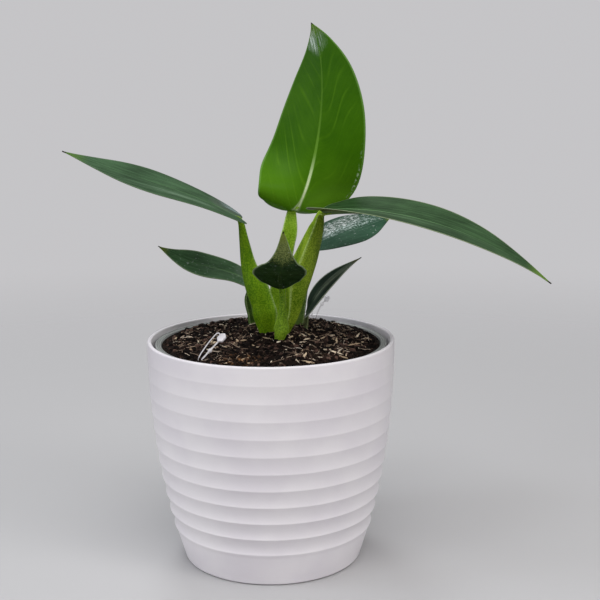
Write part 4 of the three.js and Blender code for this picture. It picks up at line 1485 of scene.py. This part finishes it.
def scatter_tree():
    """A Geometry Nodes tree that strews picked shapes over a surface."""
    tree = bpy.data.node_groups.new("strew", "GeometryNodeTree")
    tree.interface.new_socket("Geometry", in_out="OUTPUT", socket_type="NodeSocketGeometry")
    for title, kind in SCATTER_INPUTS.items():
        tree.interface.new_socket(title, in_out="INPUT", socket_type="NodeSocket" + kind)
    plan, entry = Plan(tree), tree.nodes.new("NodeGroupInput")
    given = {title: Wire(plan, entry.outputs[title]) for title in SCATTER_INPUTS}
    real = plan.node("GeometryNodeRealizeInstances", None, {"Geometry": strewn_copies(plan, given)})
    sockets = {"Geometry": real, "Material": given["Finish"]}
    dressed = plan.node("GeometryNodeSetMaterial", None, sockets)
    tree.links.new(dressed.socket, tree.nodes.new("NodeGroupOutput").inputs[0])
    return tree


strew = scatter_tree()
print("the scatter has", len(strew.nodes), "nodes")

# %% Run the scatter


def shape_box(name, meshes):
    """A collection that holds one object for each mesh, for the scatter to pick from."""
    box = bpy.data.collections.new(name)
    for i, mesh in enumerate(meshes):
        box.objects.link(bpy.data.objects.new(name + str(i), mesh))
    return box


def strew_over(name, bed, values):
    """Runs the scatter on a bed mesh and keeps only the plain mesh that it makes."""
    carrier = bpy.data.objects.new(name + "_bed", bed)
    scene.collection.objects.link(carrier)
    modifier = carrier.modifiers.new("strew", "NODES")
    modifier.node_group = strew
    for item in strew.interface.items_tree:
        if item.in_out == "INPUT" and item.name in values:
            modifier[item.identifier] = values[item.name]
    ready = carrier.evaluated_get(bpy.context.evaluated_depsgraph_get())
    mesh = bpy.data.meshes.new_from_object(ready)
    mesh.name = name
    carrier.modifiers.clear()
    bpy.data.objects.remove(carrier)
    settle(link_mesh(name, mesh, None), "peat", "soil")


print("inputs:", ", ".join(SCATTER_INPUTS))

# %% [markdown]
# ## The bed for the crumbs
#
# Crumbs lie on top of the peat only, so the scatter gets that top as a sheet of its own. Fibres
# and chips don't lie evenly: two places have few of them. A mask could be painted for that, but
# two soft ovals are enough, and the sheet keeps them as numbers.

# %% Bed mesh
BED_SPOKES = 90
BED_STEPS = 34
BED_HOLE = 0.5
# Where fibres and chips are few: x, y and how far it reaches along each.
BARE_PATCHES = [(-2.0, -36.0, 17.0, 20.0), (-22.0, 30.0, 20.0, 18.0)]


def oval_away(x, y, oval):
    """How far a place is from an oval's middle, squared, with 1 on its edge."""
    mid_x, mid_y, reach_x, reach_y = oval
    return ((x - mid_x) / reach_x) ** 2 + ((y - mid_y) / reach_y) ** 2


def bed_mesh(reach):
    """The top of the peat inside a radius, as an open sheet in metres."""
    points, faces = [], []
    for i in range(BED_STEPS + 1):
        radius = BED_HOLE + (reach - BED_HOLE) * i / BED_STEPS
        points += [(x, y, rough_height(x, y)) for x, y in round_places(radius, BED_SPOKES)]
    for i in range(BED_STEPS):
        for k in range(BED_SPOKES):
            a, b = i * BED_SPOKES + k, i * BED_SPOKES + (k + 1) % BED_SPOKES
            faces.append((a + BED_SPOKES, b + BED_SPOKES, b, a))
    places = np.array(points)
    mesh = bpy.data.meshes.new("bed")
    mesh.from_pydata((places * MM).tolist(), [], faces)
    bare = np.zeros(len(points))
    for patch in BARE_PATCHES:
        bare = np.maximum(bare, np.exp(-oval_away(places[:, 0], places[:, 1], patch)))
    plenty = mesh.attributes.new("plenty", "FLOAT", "POINT")
    plenty.data.foreach_set("value", (1.0 - bare).astype(np.float32))
    if mesh.polygons[0].normal.z < 0:
        mesh.flip_normals()
    return mesh


print("a bed has", (BED_STEPS + 1) * BED_SPOKES, "points")

# %% [markdown]
# ## Crumbs, fibres and chips
#
# No two crumbs have the same colour: most are nearly black and a few are pale, fibres go from
# brown to straw, and chips are split wood. A material for each copy would be slow. Instead one
# recipe reads the tone that the scatter stored on each copy and looks it up in a colour ramp.
# Near the front, where bark is broken up, the peat is warmer.

# %% Crumb, fibre and chip finishes
WARM_PATCH = (-17.0, -51.0, 14.0, 9.0)
BARK_BROWN = (0.40, 0.20, 0.08)
CRUMB_STOPS = [
    (0.0, (0.0015, 0.0009, 0.0008)), (0.5, (0.005, 0.0028, 0.0024)), (0.76, (0.024, 0.013, 0.010)),
    (0.92, (0.11, 0.065, 0.050)), (1.0, (0.34, 0.24, 0.19)),
]
FIBRE_STOPS = [
    (0.0, (0.03, 0.018, 0.013)), (0.38, (0.14, 0.092, 0.066)), (0.72, (0.40, 0.30, 0.22)),
    (1.0, (0.80, 0.70, 0.58)),
]
CHIP_STOPS = [(0.0, (0.22, 0.14, 0.08)), (0.5, (0.56, 0.43, 0.29)), (1.0, (0.88, 0.78, 0.62))]


def toned_peat(plan, stops, scale, rough):
    """A colour that follows each copy's stored tone, with a fine mottle."""
    place = object_place(plan)
    tone = plan.kept("tone")
    mottle = plan.noise(place, scale, 4.0, 0.6)
    colour = plan.ramp(stops, tone * 0.8 + mottle * 0.4 - 0.1)
    x, y, _ = plan.split(place)
    away = oval_away(x / MM, y / MM, WARM_PATCH)
    warm = (1 - plan.smooth(away, 0.2, 1.2)) * plan.smooth(mottle, 0.45, 0.65) * tone
    return {
        "Base Color": plan.mix(warm * 0.7, colour, BARK_BROWN),
        "Roughness": rough,
        "Normal": plan.bump(mottle, 0.7, 0.0006),
        "Specular IOR Level": 0.1,
    }


crumb_finish = new_finish("peat_crumbs", toned_peat, CRUMB_STOPS, 700.0, 0.92)
fibre_finish = new_finish("coir_fibres", toned_peat, FIBRE_STOPS, 900.0, 0.75)
chip_finish = new_finish("pale_chips", toned_peat, CHIP_STOPS, 800.0, 0.7)

# %% [markdown]
# ## Strewing
#
# Large crumbs come first and small ones fill up between them. Then the fibres and the chips go
# on top. Each kind is one piece, so it can be changed without the others. The shapes and their
# collections have done their work at the end and are removed.

# %% Strew the peat
boxes_of_shapes = {
    "crumb": shape_box("crumb", crumb_shapes),
    "fibre": shape_box("fibre", fibre_shapes),
    "chip": shape_box("chip", chip_shapes),
}
crumbs = {"Shapes": boxes_of_shapes["crumb"], "Finish": crumb_finish, "Tumble": 3.0}
fibres = {"Shapes": boxes_of_shapes["fibre"], "Finish": fibre_finish, "Tumble": 0.5}
chips = {"Shapes": boxes_of_shapes["chip"], "Finish": chip_finish, "Tumble": 0.7}
# The piece, how far out it lies in millimetres, its kind, and its numbers in metres.
STREWN = [
    ("peat_crumbs_large", 59.5, crumbs, {
        "Spacing": 0.0021, "Density": 240000.0, "Smallest": 0.0007, "Largest": 0.0019, "Seed": 3,
    }),
    ("peat_crumbs_small", 60.8, crumbs, {
        "Spacing": 0.00125, "Density": 600000.0, "Smallest": 0.0003, "Largest": 0.0009, "Seed": 8,
    }),
    ("coir_fibres", 56.0, fibres, {
        "Spacing": 0.0019, "Density": 125000.0, "Smallest": 0.0006, "Largest": 0.0012, "Seed": 21,
        "Patches": 0.8,
    }),
    ("pale_chips", 57.0, chips, {
        "Spacing": 0.0031, "Density": 55000.0, "Smallest": 0.00035, "Largest": 0.00105, "Seed": 31,
        "Patches": 0.95,
    }),
]
for name, reach, kind, values in STREWN:
    strew_over(name, bed_mesh(reach), {**kind, **values})
for box in boxes_of_shapes.values():
    for shape in list(box.objects):
        bpy.data.objects.remove(shape)
    bpy.data.collections.remove(box)
print("strewn pieces:", len(STREWN))

# %% [markdown]
# ## The stem in the peat
#
# The short stem that carries the large stalks is hidden in the peat. It could be modelled
# again, but the frame's own solid has the right shape, so it stays and only takes a finish.

# %% Crown
CROWN_DULL = (0.10, 0.12, 0.03)
CROWN_CLEAR = (0.24, 0.24, 0.10)


def crown_skin(plan):
    """Olive skin with rough grain that runs lengthwise."""
    bark = plan.noise(plan.stretch(object_place(plan), (1.0, 1.0, 3.0)), 90.0, 4.0)
    return {
        "Base Color": plan.mix(bark, CROWN_DULL, CROWN_CLEAR),
        "Roughness": 0.7,
        "Normal": plan.bump(bark, 0.5, 0.001),
    }


crown = frame["nodes"]["crown"]
crown.data.materials.clear()
crown.data.materials.append(new_finish("crown_skin", crown_skin))

# %% [markdown]
# ## Loop fasteners
#
# Two clear plastic loops are stuck in the peat. Each has a filament with a bead, a flat head
# and a thin strand that comes back from the head. Bezier curves with a bevel could make the
# strands, but the bead needs a radius that changes, so they are tubes through rings as well.
# Their points repeat the frame's.

# %% Loop fastener measures
STRAND_RADIUS = 0.45
THIN_RADIUS = 0.32
BEAD_RADIUS = 1.2
STRAND_ROWS = 90
HEAD_CORNERS = 0.05
# Height and share of the outline, over the plate's rounded edge.
HEAD_EDGE = [
    (-0.5, 0.5), (-0.5, 0.8), (-0.4, 0.95), (-0.2, 1.0),
    (0.2, 1.0), (0.4, 0.95), (0.5, 0.8), (0.5, 0.5),
]
# solid is the least share of light that a fastener stops.
TAG_LOOPS = {
    "front": {
        "strand": [
            (-38, -44.6, 118.5), (-37.4, -44.6, 124.6), (-34.4, -43.3, 128.4), (-27.4, -39.8, 135.3),
        ],
        "bead": (-32.5, -42.4, 130.2), "head": (-26.4, -39.3, 136.4),
        "head_size": (4.6, 5.6, 1.5), "solid": 0.5,
        "back": [
            (-28.3, -38.1, 138.8), (-31.7, -39.6, 135.9), (-35.6, -41.9, 131.2), (-38.6, -43.8, 126.2),
            (-39, -44, 118.5),
        ],
    },
    "back": {
        "strand": [(28, 41, 119), (27.5, 40, 130), (29.5, 39, 136.5), (33, 38, 141.5)],
        "bead": (31, 38.6, 138.5), "head": (33.8, 37.8, 142),
        "head_size": (3.2, 4.2, 1.3), "solid": 0.15,
        "back": [
            (32.6, 38.3, 143.2), (29, 39, 140.2), (26.9, 40, 138), (25, 41.5, 133), (24.7, 42.5, 119),
        ],
    },
}
print("fasteners:", ", ".join(TAG_LOOPS))

# %% Strands and heads


def tube_rings(centre, radius, sides=12):
    """Rings of a round tube along a line of points, with a radius for each point."""
    tangent = unit(np.gradient(centre, axis=0))
    side = unit(np.cross(tangent, (0.3, 0.2, 1.0)))
    other = np.cross(tangent, side)
    angles = np.linspace(0, 2 * math.pi, sides, endpoint=False)
    ring = side[:, None] * np.cos(angles)[:, None] + other[:, None] * np.sin(angles)[:, None]
    return centre[:, None] + ring * radius[:, None, None]


def strand_rings(tag):
    """The filament, which swells into its bead."""
    path = spline(tag["strand"], np.linspace(0, 1, STRAND_ROWS))
    from_bead = np.linalg.norm(path - tag["bead"], axis=1)
    bead = np.sqrt(np.maximum(BEAD_RADIUS**2 - from_bead**2, 0))
    return tube_rings(path, np.maximum(STRAND_RADIUS, bead))


def return_rings(tag):
    """The thin strand from the head back into the peat."""
    path = spline([tag["head"], *tag["back"]], np.linspace(0, 1, STRAND_ROWS))
    return tube_rings(path, np.full(STRAND_ROWS, THIN_RADIUS))


def head_rings(tag, sides=36):
    """The flat head: a plate with a rounded six-sided outline, turned along its strand's end."""
    path = spline(tag["strand"], np.array([0.96, 1.0]))
    turn = np.array(Vector((0, 1, 0)).rotation_difference(Vector(path[1] - path[0])).to_matrix())
    angles = np.linspace(0, 2 * math.pi, sides, endpoint=False)
    reach = 0.5 * (1 - HEAD_CORNERS * np.cos(6 * angles))
    x, y = reach * np.cos(angles), reach * np.sin(angles)
    plates = [np.stack([x * share, y * share, np.full(sides, z)], -1) for z, share in HEAD_EDGE]
    return np.array([(plate * tag["head_size"]) @ turn.T + tag["head"] for plate in plates])


print("a strand has", strand_rings(TAG_LOOPS["front"]).shape[0], "rings")

# %% [markdown]
# ## Clear plastic
#
# The fasteners are cloudy and catch the light. A transmissive shader bends light as clear
# plastic does, but it is slow and noisy on threads this thin. A pale surface that lets part of
# the light through looks nearly the same, and the haze varies how much.

# %% Fastener pieces
HAZE_DULL = (0.70, 0.68, 0.71)
HAZE_CLEAR = (0.90, 0.87, 0.90)


def clear_plastic(plan, solid):
    """Cloudy clear plastic that stops more light where its haze is thick."""
    haze = plan.noise(object_place(plan), 300.0, 3.0)
    return {
        "Base Color": plan.mix(haze, HAZE_DULL, HAZE_CLEAR),
        "Roughness": 0.22 + haze * 0.15,
        "Alpha": haze * 0.3 + solid,
        "Coat Weight": 0.3,
    }


for name, tag in TAG_LOOPS.items():
    tag_finish = new_finish("clear_plastic_" + name, clear_plastic, tag["solid"])
    for part, make in {"strand": strand_rings, "return": return_rings, "head": head_rings}.items():
        piece = skin_piece("loop_" + part + "_" + name, make(tag), tag_finish)
        settle(piece, "tag_clear", "tag_loop_" + name)

# %% [markdown]
# ## The ground
#
# The plant stands on a plain ground with no horizon line. A curved backdrop could do that, but
# it would have to be as large as the view. Here a pale floor fades out into a pale world.

# %% Floor
FLOOR_REACH = 4.0
FLOOR_Z = -0.0002
FLOOR_GREY = (0.46, 0.455, 0.46)
FADE_BEGINS, FADE_ENDS = 0.15, 1.1


def pale_floor(plan):
    """Pale grey that fades out with the distance from the pot."""
    place = object_place(plan)
    far = plan.node("ShaderNodeVectorMath", {"operation": "LENGTH"}, {0: place}, out="Value")
    return {
        "Base Color": FLOOR_GREY,
        "Roughness": 0.6,
        "Alpha": 1 - plan.smooth(far, FADE_BEGINS, FADE_ENDS),
    }


floor_mesh = bpy.data.meshes.new("floor")
corners = [(x * FLOOR_REACH, y * FLOOR_REACH, FLOOR_Z) for x, y in [(-1, -1), (1, -1), (1, 1), (-1, 1)]]
floor_mesh.from_pydata(corners, [], [(0, 1, 2, 3)])
floor = link_mesh("floor", floor_mesh, new_finish("pale_floor", pale_floor))

# %% [markdown]
# ## World and lights
#
# The plant stands in soft daylight: broad and warm from the front, cool from the left, and
# dim from below. One large light would flatten the leaves, and a sky picture would show in the
# gloss. So six round lights stand about the plant. Overhead is the main one, two fill from the
# front, two cool ones draw the gloss on the left leaves, and one high behind draws it along the
# upright leaf. The world is dark below and lighter above, but the camera sees it in one tone.

# %% World
WORLD_COLOUR = (0.56, 0.555, 0.57)
AMBIENT_LOW = (0.05, 0.05, 0.052)
AMBIENT_HIGH = (0.44, 0.44, 0.45)
AMBIENT_HEIGHTS = (-0.3, 0.9)

world = bpy.data.worlds.new("studio")
scene.world = world
world.use_nodes = True
sky = Plan(world.node_tree)
sky.tree.nodes.clear()
_, _, sky_height = sky.split(sky.node("ShaderNodeTexCoord", None, None, out="Generated"))
glow = sky.mix(sky.smooth(sky_height, *AMBIENT_HEIGHTS), AMBIENT_LOW, AMBIENT_HIGH)
seen = sky.node("ShaderNodeLightPath", None, None, out="Is Camera Ray")
backdrop = sky.node("ShaderNodeBackground", None, {"Color": sky.mix(seen, glow, WORLD_COLOUR)})
sky.node("ShaderNodeOutputWorld", None, {"Surface": backdrop})
print("the world has", len(sky.tree.nodes), "nodes")

# %% Lights
# Place, the height that it points at, size, watts and colour.
LIGHTS = {
    "overhead": ((0.1, -0.6, 1.4), 0.15, 1.1, 12.0, (1.0, 0.99, 0.98)),
    "front_right": ((1.35, -0.95, 0.7), 0.12, 0.7, 8.5, (1.0, 0.98, 0.97)),
    "front_left": ((-1.25, -1.05, 0.35), 0.12, 0.7, 4.5, (1.0, 0.98, 0.98)),
    "cool_left": ((-1.3, -0.21, 0.98), 0.25, 0.5, 5.0, (0.88, 0.94, 1.0)),
    "cool_high": ((-0.9, -0.7, 1.15), 0.25, 0.35, 1.5, (0.88, 0.94, 1.0)),
    "high_back": ((-0.21, 0.75, 1.24), 0.2, 0.5, 4.5, (0.95, 0.98, 1.0)),
}
for name, (place, target_z, size, watts, colour) in LIGHTS.items():
    data = bpy.data.lights.new(name, "AREA")
    data.shape = "DISK"
    data.size = size
    data.energy = watts
    data.color = colour
    lamp = bpy.data.objects.new(name, data)
    scene.collection.objects.link(lamp)
    lamp.location = place
    ahead = Vector((0.0, 0.0, target_z)) - Vector(place)
    lamp.rotation_euler = ahead.to_track_quat("-Z", "Y").to_euler()
print("lights:", ", ".join(LIGHTS))

# %% [markdown]
